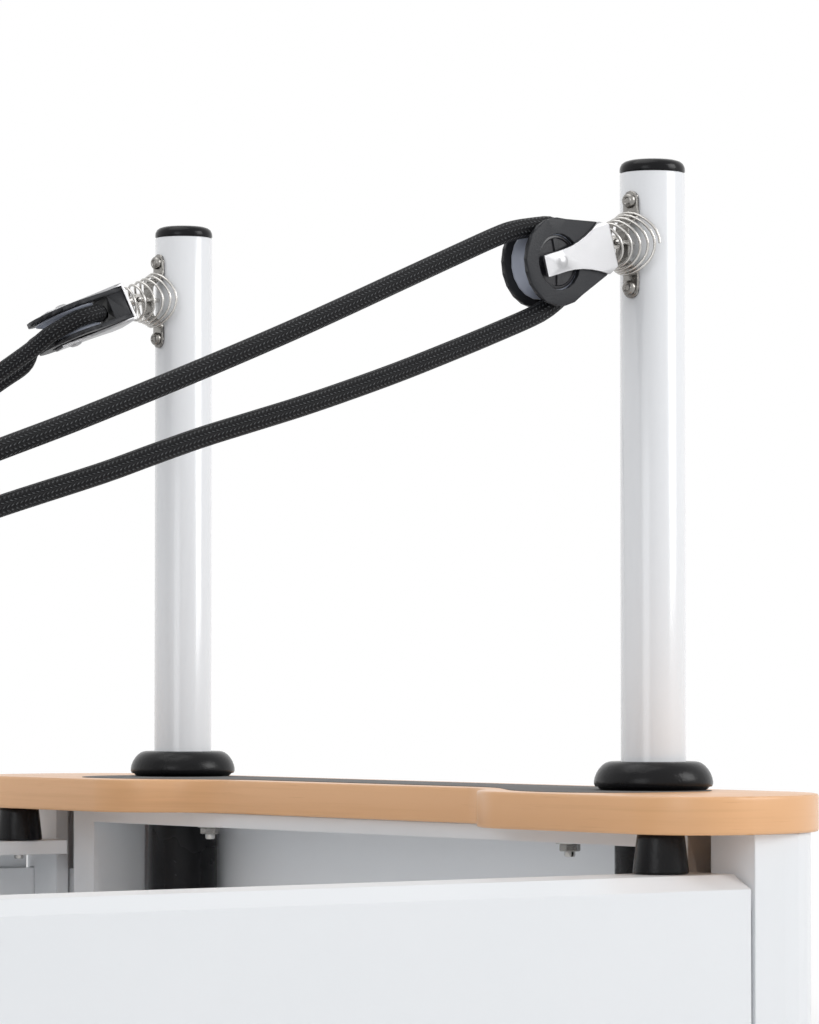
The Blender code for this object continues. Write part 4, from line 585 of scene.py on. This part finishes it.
def s_fronted_plate(name, inset, side, low, high, front_radius, back_radius, edge, material, replaced):
    """The head platform from above, or a mat inside it: two tabs reach past a shallow S-sided recess."""
    recess, tab, back = recess_front + inset, tab_front + inset, plate_back - inset
    inner, outer = recess_half_width - inset, tab_inner_edge + inset
    piece = start_block((recess, -side, low), (back, side, high))
    for y in (-inner, inner):
        bpy.ops.mesh.select_all(action="SELECT")
        bpy.ops.mesh.bisect(plane_co=(0, y, 0), plane_no=(0, 1, 0))
    for sign in (-1, 1):
        pick_faces(piece, lambda middle, normal: normal.x < -0.9 and middle.y * sign > inner)
        bpy.ops.mesh.extrude_region_move(TRANSFORM_OT_translate={"value": (tab - recess, 0, 0)})
        pick_edges(piece, lambda e: all(abs(v.co.x - tab) < 1e-4 and abs(v.co.y - sign * inner) < 1e-3
                                        for v in e.verts))
        bpy.ops.transform.translate(value=(0, sign * (outer - inner), 0))

    def across_the_plate(e):
        one, two = (v.co for v in e.verts)
        return (all(abs(abs(v.y) - inner) < 1e-3 for v in (one, two)) and one.y * two.y > 0
                and (abs(one.z - two.z) < 1e-5 or one.x > recess + 0.01))

    pick_edges(piece, across_the_plate)
    bpy.ops.mesh.dissolve_edges(use_verts=True)

    def upright_at(x, y):
        return lambda e: (all(abs(v.co.x - x) < 1e-3 and abs(abs(v.co.y) - y) < 1e-3 for v in e.verts)
                          and e.verts[0].co.y * e.verts[1].co.y > 0)

    bend = math.atan2(recess - tab, outer - inner)
    curve = 0.48 * math.hypot(recess - tab, outer - inner) * math.sin(bend)
    for x, y, radius in ((tab, side, front_radius), (back, side, back_radius), (recess, inner, curve),
                         (tab, outer, curve)):
        pick_edges(piece, upright_at(x, y))
        bpy.ops.mesh.bevel(offset=radius, segments=16, affect="EDGES")
    pick_edges(piece, lambda e: e.calc_face_angle(0) > 1.2 and abs(e.verts[0].co.z - e.verts[1].co.z) < 1e-5)
    return settle(end_block(piece, edge), name, material, "head_half", replaced)


s_fronted_plate("head_board_wood", 0.0, plate_side, board_bottom, board_top, 0.044, 0.070, board_arris,
                platform_beech, ["platform_board"])
s_fronted_plate("platform_mat_rubber", mat_inset, mat_half_length, board_top - 0.0010, mat_top, 0.040, 0.030,
                0.0001, grey_mat, ["platform_mat"])
rounded_block("foot_board_wood", (-plate_back, -plate_side, board_bottom),
              (foot_board_depth - plate_back, plate_side, board_top), board_arris,
              platform_beech, "foot_half", ["foot_board"], corner=0.050)
rounded_block("deck_board_wood", (carriage_foot, -deck_half_width, deck_bottom),
              (carriage_head, deck_half_width, deck_top), board_arris,
              deck_beech, "carriage", ["deck_board"], corner=0.020)


# Swept rounds: ropes and wound wire

def even_line(points, spacing):
    """The same line with points this far apart, so that a braid keeps one pitch."""
    points = [Vector(p) for p in points]
    line, left = [points[0]], spacing
    for a, b in zip(points, points[1:]):
        length = (b - a).length
        while left <= length:
            line.append(a.lerp(b, left / length))
            left += spacing
        left -= length
    if (line[-1] - points[-1]).length > spacing * 0.3:
        line.append(points[-1])
    else:
        line[-1] = points[-1]
    return line


def smooth_line(points, steps):
    """A curve through the points, with this many steps from each to the next."""
    points = [Vector(p) for p in points]
    ends = [points[0] * 2 - points[1]] + points + [points[-1] * 2 - points[-2]]
    line = []
    for i in range(1, len(ends) - 2):
        a, b, c, d = ends[i - 1:i + 3]
        for k in range(steps):
            t = k / steps
            line.append(0.5 * (2 * b + (c - a) * t + (2 * a - 5 * b + 4 * c - d) * t * t
                               + (3 * b - a - 3 * c + d) * t * t * t))
    line.append(points[-1])
    return line


def sweep(name, line, radius, sides, material, start_length=0.0, first_normal=None):
    """A round bar along a line, with metres along and round it in its UV map, and closed ends."""
    bm = bmesh.new()
    uv = bm.loops.layers.uv.new("along")
    rings, lengths, length = [], [], start_length
    tangent = (line[1] - line[0]).normalized()
    normal = first_normal or tangent.orthogonal().normalized()
    for i, point in enumerate(line):
        ahead = line[min(i + 1, len(line) - 1)] - line[max(i - 1, 0)]
        turn = tangent.rotation_difference(ahead.normalized())
        tangent, normal = ahead.normalized(), turn @ normal
        normal = (normal - tangent * normal.dot(tangent)).normalized()
        across = tangent.cross(normal)
        rings.append([bm.verts.new(point + (normal * math.cos(a) + across * math.sin(a)) * radius)
                      for a in (2 * math.pi * k / sides for k in range(sides))])
        if i:
            length += (point - line[i - 1]).length
        lengths.append(length)
    width = 2 * math.pi * radius / sides
    for i, (one, two) in enumerate(zip(rings, rings[1:])):
        for k in range(sides):
            face = bm.faces.new((one[k], one[(k + 1) % sides], two[(k + 1) % sides], two[k]))
            face.smooth = True
            corners = ((lengths[i], k), (lengths[i], k + 1), (lengths[i + 1], k + 1), (lengths[i + 1], k))
            for loop, (u, v) in zip(face.loops, corners):
                loop[uv].uv = (u, v * width)
    for cap in (bm.faces.new(rings[0][::-1]), bm.faces.new(rings[-1])):
        for edge in cap.edges:
            edge.smooth = False
    return built_piece(name, bm, material), lengths[-1], normal


# Ropes: each from its handle ring, round its pulley and back to the lug on the carriage

near_route = [
    (0.3085, -0.2097, 0.3780), (0.3199, -0.2144, 0.3780), (0.3500, -0.2200, 0.3910),
    (0.3838, -0.2307, 0.4004), (0.4300, -0.2430, 0.4130), (0.4701, -0.2501, 0.4247),
    (0.5157, -0.2566, 0.4382), (0.5600, -0.2610, 0.4520), (0.6025, -0.2623, 0.4662),
    (0.6437, -0.2614, 0.4806), (0.6781, -0.2602, 0.4927), (0.7105, -0.2582, 0.5038),
    (0.7356, -0.2556, 0.5126), (0.7655, -0.2528, 0.5234), (0.7960, -0.2499, 0.5346),
    (0.8270, -0.2469, 0.5462), (0.8588, -0.2438, 0.5584), (0.8916, -0.2403, 0.5714),
    (0.9249, -0.2366, 0.5848), (0.9614, -0.2325, 0.5994), (0.9913, -0.2291, 0.6112),
    (1.0049, -0.2275, 0.6155), (1.0220, -0.2263, 0.6185), (1.0279, -0.2259, 0.6191),
    (1.0337, -0.2255, 0.6178), (1.0388, -0.2252, 0.6147), (1.0428, -0.2249, 0.6103),
    (1.0451, -0.2247, 0.6048), (1.0457, -0.2247, 0.5989), (1.0444, -0.2248, 0.5930),
    (1.0414, -0.2250, 0.5879), (1.0369, -0.2253, 0.5840), (1.0220, -0.2263, 0.5745),
    (0.9913, -0.2291, 0.5628), (0.9603, -0.2326, 0.5519), (0.9249, -0.2366, 0.5399),
    (0.8916, -0.2403, 0.5294), (0.8588, -0.2438, 0.5196), (0.8270, -0.2469, 0.5108),
    (0.7960, -0.2499, 0.5022), (0.7655, -0.2528, 0.4927), (0.7356, -0.2556, 0.4832),
    (0.6781, -0.2602, 0.4666), (0.6429, -0.2614, 0.4550), (0.6010, -0.2623, 0.4408),
    (0.5600, -0.2620, 0.4270), (0.5219, -0.2600, 0.4143), (0.4846, -0.2568, 0.4020),
    (0.4500, -0.2530, 0.3905), (0.4007, -0.2449, 0.3740), (0.3636, -0.2380, 0.3620),
    (0.3513, -0.2380, 0.3620)]
far_route = [
    (0.3085, 0.2097, 0.3780), (0.3199, 0.2144, 0.3780), (0.3500, 0.2110, 0.3775), (0.3850, 0.2155, 0.3767),
    (0.4300, 0.2220, 0.3770), (0.4644, 0.2264, 0.3785), (0.5022, 0.2310, 0.3810), (0.5400, 0.2350, 0.3850),
    (0.5767, 0.2380, 0.3907), (0.6133, 0.2404, 0.3979), (0.6500, 0.2420, 0.4070), (0.6870, 0.2427, 0.4184),
    (0.7241, 0.2426, 0.4316), (0.7600, 0.2420, 0.4460), (0.7956, 0.2408, 0.4621), (0.8300, 0.2390, 0.4794),
    (0.8600, 0.2370, 0.4950), (0.8939, 0.2336, 0.5136), (0.9200, 0.2300, 0.5290), (0.9580, 0.2235, 0.5530),
    (0.9849, 0.2178, 0.5718), (0.9994, 0.2145, 0.5826), (1.0059, 0.2111, 0.5889), (1.0216, 0.2064, 0.5985),
    (1.0278, 0.2058, 0.6009), (1.0340, 0.2074, 0.6027), (1.0395, 0.2112, 0.6037), (1.0435, 0.2165, 0.6039),
    (1.0456, 0.2228, 0.6031), (1.0454, 0.2293, 0.6015), (1.0431, 0.2352, 0.5993), (1.0389, 0.2397, 0.5967),
    (1.0334, 0.2424, 0.5941), (1.0175, 0.2464, 0.5845), (1.0111, 0.2461, 0.5738), (0.9961, 0.2488, 0.5632),
    (0.9600, 0.2560, 0.5380), (0.9200, 0.2620, 0.5120), (0.8925, 0.2656, 0.4961), (0.8600, 0.2690, 0.4780),
    (0.8231, 0.2719, 0.4567), (0.7800, 0.2740, 0.4350), (0.7456, 0.2747, 0.4217), (0.7078, 0.2749, 0.4091),
    (0.6700, 0.2740, 0.3980), (0.6333, 0.2719, 0.3885), (0.5967, 0.2688, 0.3805), (0.5600, 0.2650, 0.3740),
    (0.5225, 0.2603, 0.3693), (0.4849, 0.2550, 0.3662), (0.4500, 0.2500, 0.3640), (0.4007, 0.2431, 0.3624),
    (0.3636, 0.2380, 0.3620), (0.3513, 0.2380, 0.3620)]


def rope(side, route):
    """One rope in lengths that meet end to end where the block's joints turn; a length that lies on one body
    moves with it.
    """
    line = even_line(smooth_line(route, 4), braid_step)
    ring, swivel, block = f"eye_ring_{side}", f"swivel_{side}", f"block_{side}"
    parts = [("", 0.0, 0.915, "carriage", "head_half"), ("_post", 0.915, 0.940, "head_half", ring),
             ("_ring", 0.940, 0.963, ring, swivel), ("_head", 0.963, rope_wrap_x, swivel, block)]
    top = max(range(len(line)), key=lambda i: line[i].x)
    out, back = line[:top + 1], line[top:]
    pieces, length, normal = [], 0.0, Vector((0, 0, 1))

    def lay(name, run, first, last):
        nonlocal length, normal
        piece, length, normal = sweep(f"rope_{side}_{name}", run, rope_radius, 20, rope_yarn, length, normal)
        if first == last:
            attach(piece, first)
        else:
            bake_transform(piece)
        pieces.append(piece)

    for label, low, high, first, last in parts:
        inside = [i for i, p in enumerate(out) if low <= p.x <= high]
        lay("handle" + label, out[max(inside[0] - 1, 0):inside[-1] + 1], first, last)
    around = [p for p in out if p.x > rope_wrap_x]
    around = [out[len(out) - len(around) - 1]] + around + [p for p in back[1:] if p.x >= rope_wrap_x]
    lay("wrap", around, block, block)
    joined = around[-1]
    rest = [joined] + [p for p in back[1:] if p.x < rope_wrap_x]
    for label, low, high, first, last in reversed(parts):
        run = [p for p in rest if low <= p.x <= high]
        if run[0] != joined:
            run = [joined] + run
        joined = run[-1]
        lay("cleat" + label, run, last, first)
    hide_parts(f"rope_{side}")


rope("near", near_route)
rope("far", far_route)


# Stand-up springs: a wound wire from the eye strap to the block's head

bracket_turn = {"near": -12.0, "far": 0.0}


def stand_spring(side, sign, axle, out, through, width):
    """Conical nickel spring, narrow end at the block."""
    curls, per_curl, post = 6, 30, Vector((post_x, sign * post_y, 0))
    turn = Matrix.Rotation(sign * math.radians(bracket_turn[side]), 4, "Z")
    seat = axle - out * (axle_to_head + 0.0006 + 0.0003 + spring_wire / 2)
    sideways, upward = through, width
    if abs(sideways.z) > abs(upward.z):
        sideways, upward = width, through
    if upward.z < 0:
        upward = -upward
    if sideways.y * sign < 0:
        sideways = -sideways
    points = []
    for i in range(int(curls * per_curl) + 1):
        share = i / (curls * per_curl)
        angle = 2 * math.pi * curls * share
        radius = 0.0165 + (0.0090 - 0.0165) * share
        c, s = math.cos(angle), math.sin(angle)
        hug = 0.0150 + (0.0218 - 0.0150) * s * s
        wide = post + turn @ Vector((-hug, sign * radius * c, bracket_height + radius * s))
        narrow = seat + (sideways * c + upward * s) * radius
        points.append(wide.lerp(narrow, share ** 1.4))
    half = len(points) // 2
    name, thin = f"stand_up_spring_{side}", spring_wire / 2
    first, _, normal = sweep(f"{name}_post_end", points[:half + 1], thin, 10, nickel)
    second, _, _ = sweep(f"{name}_block_end", points[half:], thin, 10, nickel, first_normal=normal)
    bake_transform(first)
    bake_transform(second)
    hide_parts(name)


near_block = dict(axle=Vector((1.02672, -0.226, 0.60006)),
                  out=Vector((-0.95698, -0.06692, -0.28234)), through=Vector((0.06976, -0.99756, 0.0)),
                  width=Vector((-0.28165, -0.0197, 0.95931)))
far_block = dict(axle=Vector((1.02777, 0.2243, 0.59644)),
                 out=Vector((-0.92449, 0.12993, -0.35837)), through=Vector((0.32532, -0.22108, -0.9194)),
                 width=Vector((-0.19868, -0.96656, 0.16211)))
stand_spring("near", -1, **near_block)
stand_spring("far", 1, **far_block)


# Hubs in the sheaves and screws in the eye straps

for side, sign, block in (("near", -1, near_block), ("far", 1, far_block)):
    for face, way in (("outer", 1), ("inner", -1)):
        turned_piece(f"sheave_{side}_{face}_hub",
                     [(0.0137, 0.0068), (0.0137, 0.0078), (0.0125, 0.0080), (0.0120, 0.0072),
                      (0.0045, 0.0072), (0.0040, 0.0092), (0.0030, 0.0094)],
                     block["axle"], block["through"] * way, 48, hub_plastic, f"wheel_{side}",
                     ribs=(0.0045, 0.0120, 0.0072, 0.0008, 12))
    turn = Matrix.Rotation(sign * math.radians(bracket_turn[side]), 4, "Z")
    for label, rise in (("upper", screw_spacing / 2), ("lower", -screw_spacing / 2)):
        height = bracket_height + rise
        place = Vector((post_x, sign * post_y, 0)) + turn @ Vector((-screw_face, 0, height))
        turned_piece(f"eye_strap_{side}_{label}_screw",
                     [(0.0038, 0.0), (0.0039, 0.0010), (0.0036, 0.0022), (0.0028, 0.0030), (0.0020, 0.0032),
                      (0.0017, 0.0030), (0.0014, 0.0025)],
                     place, turn @ Vector((-1, 0, 0)), 32, dark_nickel, "head_half")


# Springs under the carriage

def carriage_spring(number, y):
    """A close-wound spring with a long hook at each end."""
    wire, mean, bar_face, tab_face = 0.0018, 0.0103, -0.927, -0.528
    first, last, turns, per_turn = -0.842, -0.607, 60, 16
    height = carriage_spring_height
    hook = ((0.0025, -0.009), (0.0026, 0.0), (0.006, 0.0065), (0.020, 0.002), (first - 0.010 - bar_face, 0.0))
    points = [Vector((bar_face + reach, y, height + rise)) for reach, rise in hook]
    count = turns * per_turn
    for i in range(count + 1):
        share = i / count
        angle = 2 * math.pi * turns * share
        radius = mean * min(1.0, share * turns, (1 - share) * turns)
        points.append(Vector((first + (last - first) * share, y + radius * math.sin(angle),
                              height + radius * math.cos(angle))))
    points += [Vector((last + 0.010, y, height)), Vector((tab_face - 0.014, y, height + 0.001)),
               Vector((tab_face - 0.0005, y, height + 0.001))]
    piece, _, _ = sweep(f"carriage_spring_{number}_wound", points, wire, 8, nickel)
    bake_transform(piece)
    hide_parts(f"carriage_spring_{number}")


for number, y in enumerate((-0.110, 0.0, 0.110), 1):
    carriage_spring(number, y)


# Cushions: a rounded box is remeshed, blown up by the cloth solver and kept inside its room

def blow_up(piece, low, high):
    """Let air pressure swell the cover for twenty frames, with its underside held."""
    held = piece.vertex_groups.new(name="held")
    depth = high[2] - low[2]
    held.add([v.index for v in piece.data.vertices if v.co.z < low[2] + 0.12 * depth], 1.0, "REPLACE")
    cloth = piece.modifiers.new("swell", "CLOTH")
    cloth.settings.use_pressure = True
    cloth.settings.uniform_pressure_force = 4.0
    cloth.settings.vertex_group_mass = "held"
    cloth.settings.effector_weights.gravity = 0.0
    cloth.settings.tension_stiffness = cloth.settings.compression_stiffness = 25.0
    cloth.settings.quality = 4
    for frame_number in range(1, 21):
        bpy.context.scene.frame_set(frame_number)
    swollen = piece.evaluated_get(bpy.context.evaluated_depsgraph_get()).data
    return [v.co.copy() for v in swollen.vertices]


def stuffed(name, low, high, room, corner, edge, cell, material, body, replaced):
    """A padded piece that starts this much inside its room and swells towards it."""
    start_low = (low[0] + room, low[1] + room, low[2])
    start_high = tuple(v - room for v in high)
    piece = rounded_block(name, start_low, start_high, edge, material, body, replaced, corner)
    take_up(piece)
    piece.data.remesh_voxel_size = cell
    bpy.ops.object.voxel_remesh()
    start = [v.co.copy() for v in piece.data.vertices]
    goal = blow_up(piece, start_low, start_high)
    most = max((b - a).length for a, b in zip(start, goal))
    for vertex, a, b in zip(piece.data.vertices, start, goal):
        vertex.co = a + (b - a) * min(1.0, room * 0.95 / max(most, 1e-6))
    piece.modifiers.clear()
    bpy.context.scene.frame_set(1)
    swell = piece.modifiers.new("smooth_cover", "SUBSURF")
    swell.levels = swell.render_levels = 1
    bpy.ops.object.modifier_apply(modifier=swell.name)
    for face in piece.data.polygons:
        face.use_smooth = True
    return piece


def welt(cushion, name, outline, radius, body):
    """A round piping sewn round the cushion's side, laid on its cover, and moving with it."""
    points = []
    for goal in outline:
        _, place, normal, _ = cushion.closest_point_on_mesh(goal)
        points.append(place + normal * radius * 0.15)
    points = smooth_line(points + points[:1], 3)
    piece, _, _ = sweep(name, points, radius, 8, pad_vinyl)
    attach(piece, body)


def rounded_outline(low, high, corner):
    """Points round a rectangle with round corners, in even steps."""
    points, steps, spacing = [], 6, 0.03
    for cx, cy, start in ((high[0] - corner, high[1] - corner, 0), (low[0] + corner, high[1] - corner, 90),
                          (low[0] + corner, low[1] + corner, 180), (high[0] - corner, low[1] + corner, 270)):
        for i in range(steps + 1):
            angle = math.radians(start + 90 * i / steps)
            points.append((cx + corner * math.cos(angle), cy + corner * math.sin(angle)))
    closed, even = points + points[:1], []
    for (x0, y0), (x1, y1) in zip(closed, closed[1:]):
        parts = max(1, round(math.hypot(x1 - x0, y1 - y0) / spacing))
        even += [(x0 + (x1 - x0) * i / parts, y0 + (y1 - y0) * i / parts) for i in range(parts)]
    return even


deck_low, deck_high = (-0.526, -0.271, 0.3456), (0.095, 0.271, 0.3906)
deck = stuffed("deck_cushion_cover", deck_low, deck_high, 0.005, 0.028, 0.010, 0.006, seat_vinyl, "carriage",
               ["deck_cushion"])
for label, level in (("upper", 0.3800), ("lower", 0.3520)):
    outline = [(x, y, level) for x, y in rounded_outline(deck_low, deck_high, 0.030)]
    welt(deck, f"deck_cushion_{label}_welt", outline, 0.0017, "carriage")

rest_low, rest_high = (0.114, -0.105, 0.3559), (0.339, 0.105, 0.3913)
rest = stuffed("headrest_cover", rest_low, rest_high, 0.004, 0.020, 0.009, 0.004, seat_vinyl, "head_rest",
               ["headrest"])
outline = [(x, y, 0.3790) for x, y in rounded_outline(rest_low, rest_high, 0.022)]
welt(rest, "headrest_welt", outline, 0.0015, "head_rest")
rounded_block("headrest_board", (0.1122, -0.0985, 0.3459), (0.335, 0.0985, 0.3557), 0.0010, black_plastic,
              "head_rest")
turned_piece("headrest_barrel", [(0.0044, 0.0), (0.0047, 0.0003), (0.0047, 0.1967), (0.0044, 0.1970)],
             (0.112, -0.0985, 0.3506), (0, 1, 0), 32, black_plastic, "head_rest")
for side, sign in side_signs.items():
    ear_low, ear_high = sorted((sign * 0.0994, sign * 0.1022))
    rounded_block(f"headrest_ear_{side}", (0.1070, ear_low, 0.3450), (0.1170, ear_high, 0.3556), 0.0007,
                  nickel, "carriage")

for side, sign in side_signs.items():
    pad_low, pad_high = (0.141, sign * 0.170 - 0.050, 0.3946), (0.189, sign * 0.170 + 0.050, 0.5046)
    pad = stuffed(f"shoulder_pad_{side}_cover", pad_low, pad_high, 0.003, 0.014, 0.007, 0.0035, pad_vinyl,
                  "carriage", [f"shoulder_pad_{side}"])
    outline = rounded_outline(pad_low[1:], pad_high[1:], 0.016)
    welt(pad, f"shoulder_pad_{side}_welt", [(0.147, y, z) for y, z in outline], 0.0013, "carriage")


# Handle loops: a webbing band round the shoulder post and through the rope's ring

def band(name, path, middle, width, thickness, material):
    """A flat strap that stands on edge along a closed path, with metres along and across in its UV map."""
    bm = bmesh.new()
    uv = bm.loops.layers.uv.new("along")
    count = len(path)
    outer = []
    for i, point in enumerate(path):
        ahead = (path[(i + 1) % count] - path[i - 1]).normalized()
        outer.append(point + Vector((ahead.y, -ahead.x, 0)) * thickness)
    bevel = thickness * 0.3
    section = ((0, -width / 2 + bevel), (0, width / 2 - bevel), (0.3, width / 2), (0.7, width / 2),
               (1, width / 2 - bevel), (1, -width / 2 + bevel), (0.7, -width / 2), (0.3, -width / 2))
    lengths = [0.0]
    for i in range(count):
        lengths.append(lengths[-1] + (path[(i + 1) % count] - path[i]).length)
    rings = [[bm.verts.new(a.lerp(b, share) + Vector((0, 0, middle + rise))) for share, rise in section]
             for a, b in zip(path, outer)]
    for i in range(count):
        one, two = rings[i], rings[(i + 1) % count]
        for k in range(len(section)):
            n = (k + 1) % len(section)
            face = bm.faces.new((one[k], one[n], two[n], two[k]))
            across = (section[k][1], section[n][1], section[n][1], section[k][1])
            along = (lengths[i], lengths[i], lengths[i + 1], lengths[i + 1])
            for loop, u, v in zip(face.loops, along, across):
                loop[uv].uv = (u, v)
    bmesh.ops.recalc_face_normals(bm, faces=bm.faces)
    for face in bm.faces:
        face.smooth = True
    piece = built_piece(name, bm, material)
    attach(piece, "carriage")
    return piece


def handle_loop(side, sign):
    """The loop of webbing, and the ring that ties it to the rope."""
    post, hook = Vector((0.2113, sign * 0.170, 0)), Vector((0.292, sign * 0.203, 0))
    along = (hook - post).normalized()
    across = Vector((-along.y, along.x, 0))
    back = hook - along * 0.0095
    turns = [(post, a, 0.0102) for a in range(90, 271, 15)] + [(back, a, 0.0042) for a in range(-90, 91, 22)]
    corners = [c + (along * math.cos(math.radians(a)) + across * math.sin(math.radians(a))) * r
               for c, a, r in turns]
    path = []
    for a, b in zip(corners, corners[1:] + corners[:1]):
        parts = max(1, round((b - a).length / 0.005))
        path += [a.lerp(b, i / parts) for i in range(parts)]
    loop = band(f"handle_loop_{side}_webbing", path, 0.378, 0.036, 0.0025, loop_web)
    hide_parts(f"handle_loop_{side}")
    circle = [Vector((hook.x + 0.0095 * math.cos(a), hook.y + 0.0095 * math.sin(a), 0.378))
              for a in (2 * math.pi * k / 48 for k in range(49))]
    ring, _, _ = sweep(f"handle_loop_{side}_ring", circle, 0.0020, 14, nickel)
    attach(ring, "carriage")


handle_loop("near", -1)
handle_loop("far", 1)

# Floor, light and camera

bpy.ops.object.select_all(action="DESELECT")
bpy.ops.mesh.primitive_plane_add(size=9.0, location=(0, 0, 0))
floor = bpy.context.object
floor.name = "studio_floor"
floor_paint, tree, shader = new_material("studio_floor_paint")
shader.inputs["Base Color"].default_value = (0.86, 0.86, 0.86, 1)
shader.inputs["Roughness"].default_value = 0.6
place = place_node(tree, "TexCoord", -900, -300)
far_off = place_node(tree, "VectorMath", -700, -300, operation="LENGTH")
fade = place_node(tree, "MapRange", -500, -300, interpolation_type="SMOOTHSTEP", From_Min=1.9, From_Max=4.2)
white_light = place_node(tree, "Emission", -200, -300, Color=(1, 1, 1, 1))
blend_out = place_node(tree, "MixShader", 100, 0)
output = tree.nodes["Material Output"]
wire(tree.links, (place, "Object", far_off, 0), (far_off, "Value", fade, "Value"),
     (fade, "Result", blend_out, "Fac"), (shader, "BSDF", blend_out, 1),
     (white_light, "Emission", blend_out, 2), (blend_out, "Shader", output, "Surface"))
floor.data.materials.append(floor_paint)

world = bpy.data.worlds.new("white_studio")
bpy.context.scene.world = world
world.use_nodes = True
sky = world.node_tree
sky.nodes.clear()
path = place_node(sky, "LightPath", -600, 200)
seen = place_node(sky, "Math", -400, 200, operation="MAXIMUM")
seen_all = place_node(sky, "Math", -200, 200, operation="MAXIMUM")
soft = place_node(sky, "Background", -200, 0, Color=(0.98, 0.99, 1.0, 1), Strength=0.58)
bright = place_node(sky, "Background", -200, -200, Color=(1, 1, 1, 1), Strength=1.0)
choice = place_node(sky, "MixShader", 100, 0)
sky_out = place_node(sky, "OutputWorld", 300, 0)
wire(sky.links, (path, "Is Camera Ray", seen, 0), (path, "Is Transmission Ray", seen, 1),
     (seen, 0, seen_all, 0), (path, "Is Glossy Ray", seen_all, 1), (seen_all, 0, choice, "Fac"),
     (soft, "Background", choice, 1), (bright, "Background", choice, 2),
     (choice, "Shader", sky_out, "Surface"))


def softbox(name, place, aim, size, power, tint=(1.0, 1.0, 1.0)):
    """A square studio light that faces a point."""
    lamp = bpy.data.lights.new(name, "AREA")
    lamp.shape = "SQUARE"
    lamp.size = size
    lamp.energy = power
    lamp.color = tint
    holder = put_in_scene(name, lamp)
    holder.location = place
    holder.rotation_euler = (Vector(aim) - Vector(place)).to_track_quat("-Z", "Y").to_euler()


softbox("softbox_right", (2.9, -2.6, 2.0), (0.9, 0, 0.4), 1.6, 47)
softbox("softbox_top", (0.2, 0.3, 3.4), (0.2, 0, 0.3), 2.4, 30)
softbox("softbox_left", (-2.8, -2.0, 1.6), (0, 0, 0.3), 1.8, 20, (0.95, 0.97, 1.0))

lens = bpy.data.cameras.new("photo_lens")
lens.lens = 158.2
lens.sensor_width = 36.0
camera = put_in_scene("photo_camera", lens)
camera.location = (-0.4136, -2.0084, 0.3869)
camera.rotation_euler = (math.radians(92.15), 0, math.radians(-37.19))
bpy.context.scene.camera = camera
bpy.context.scene.view_settings.view_transform = "Standard"
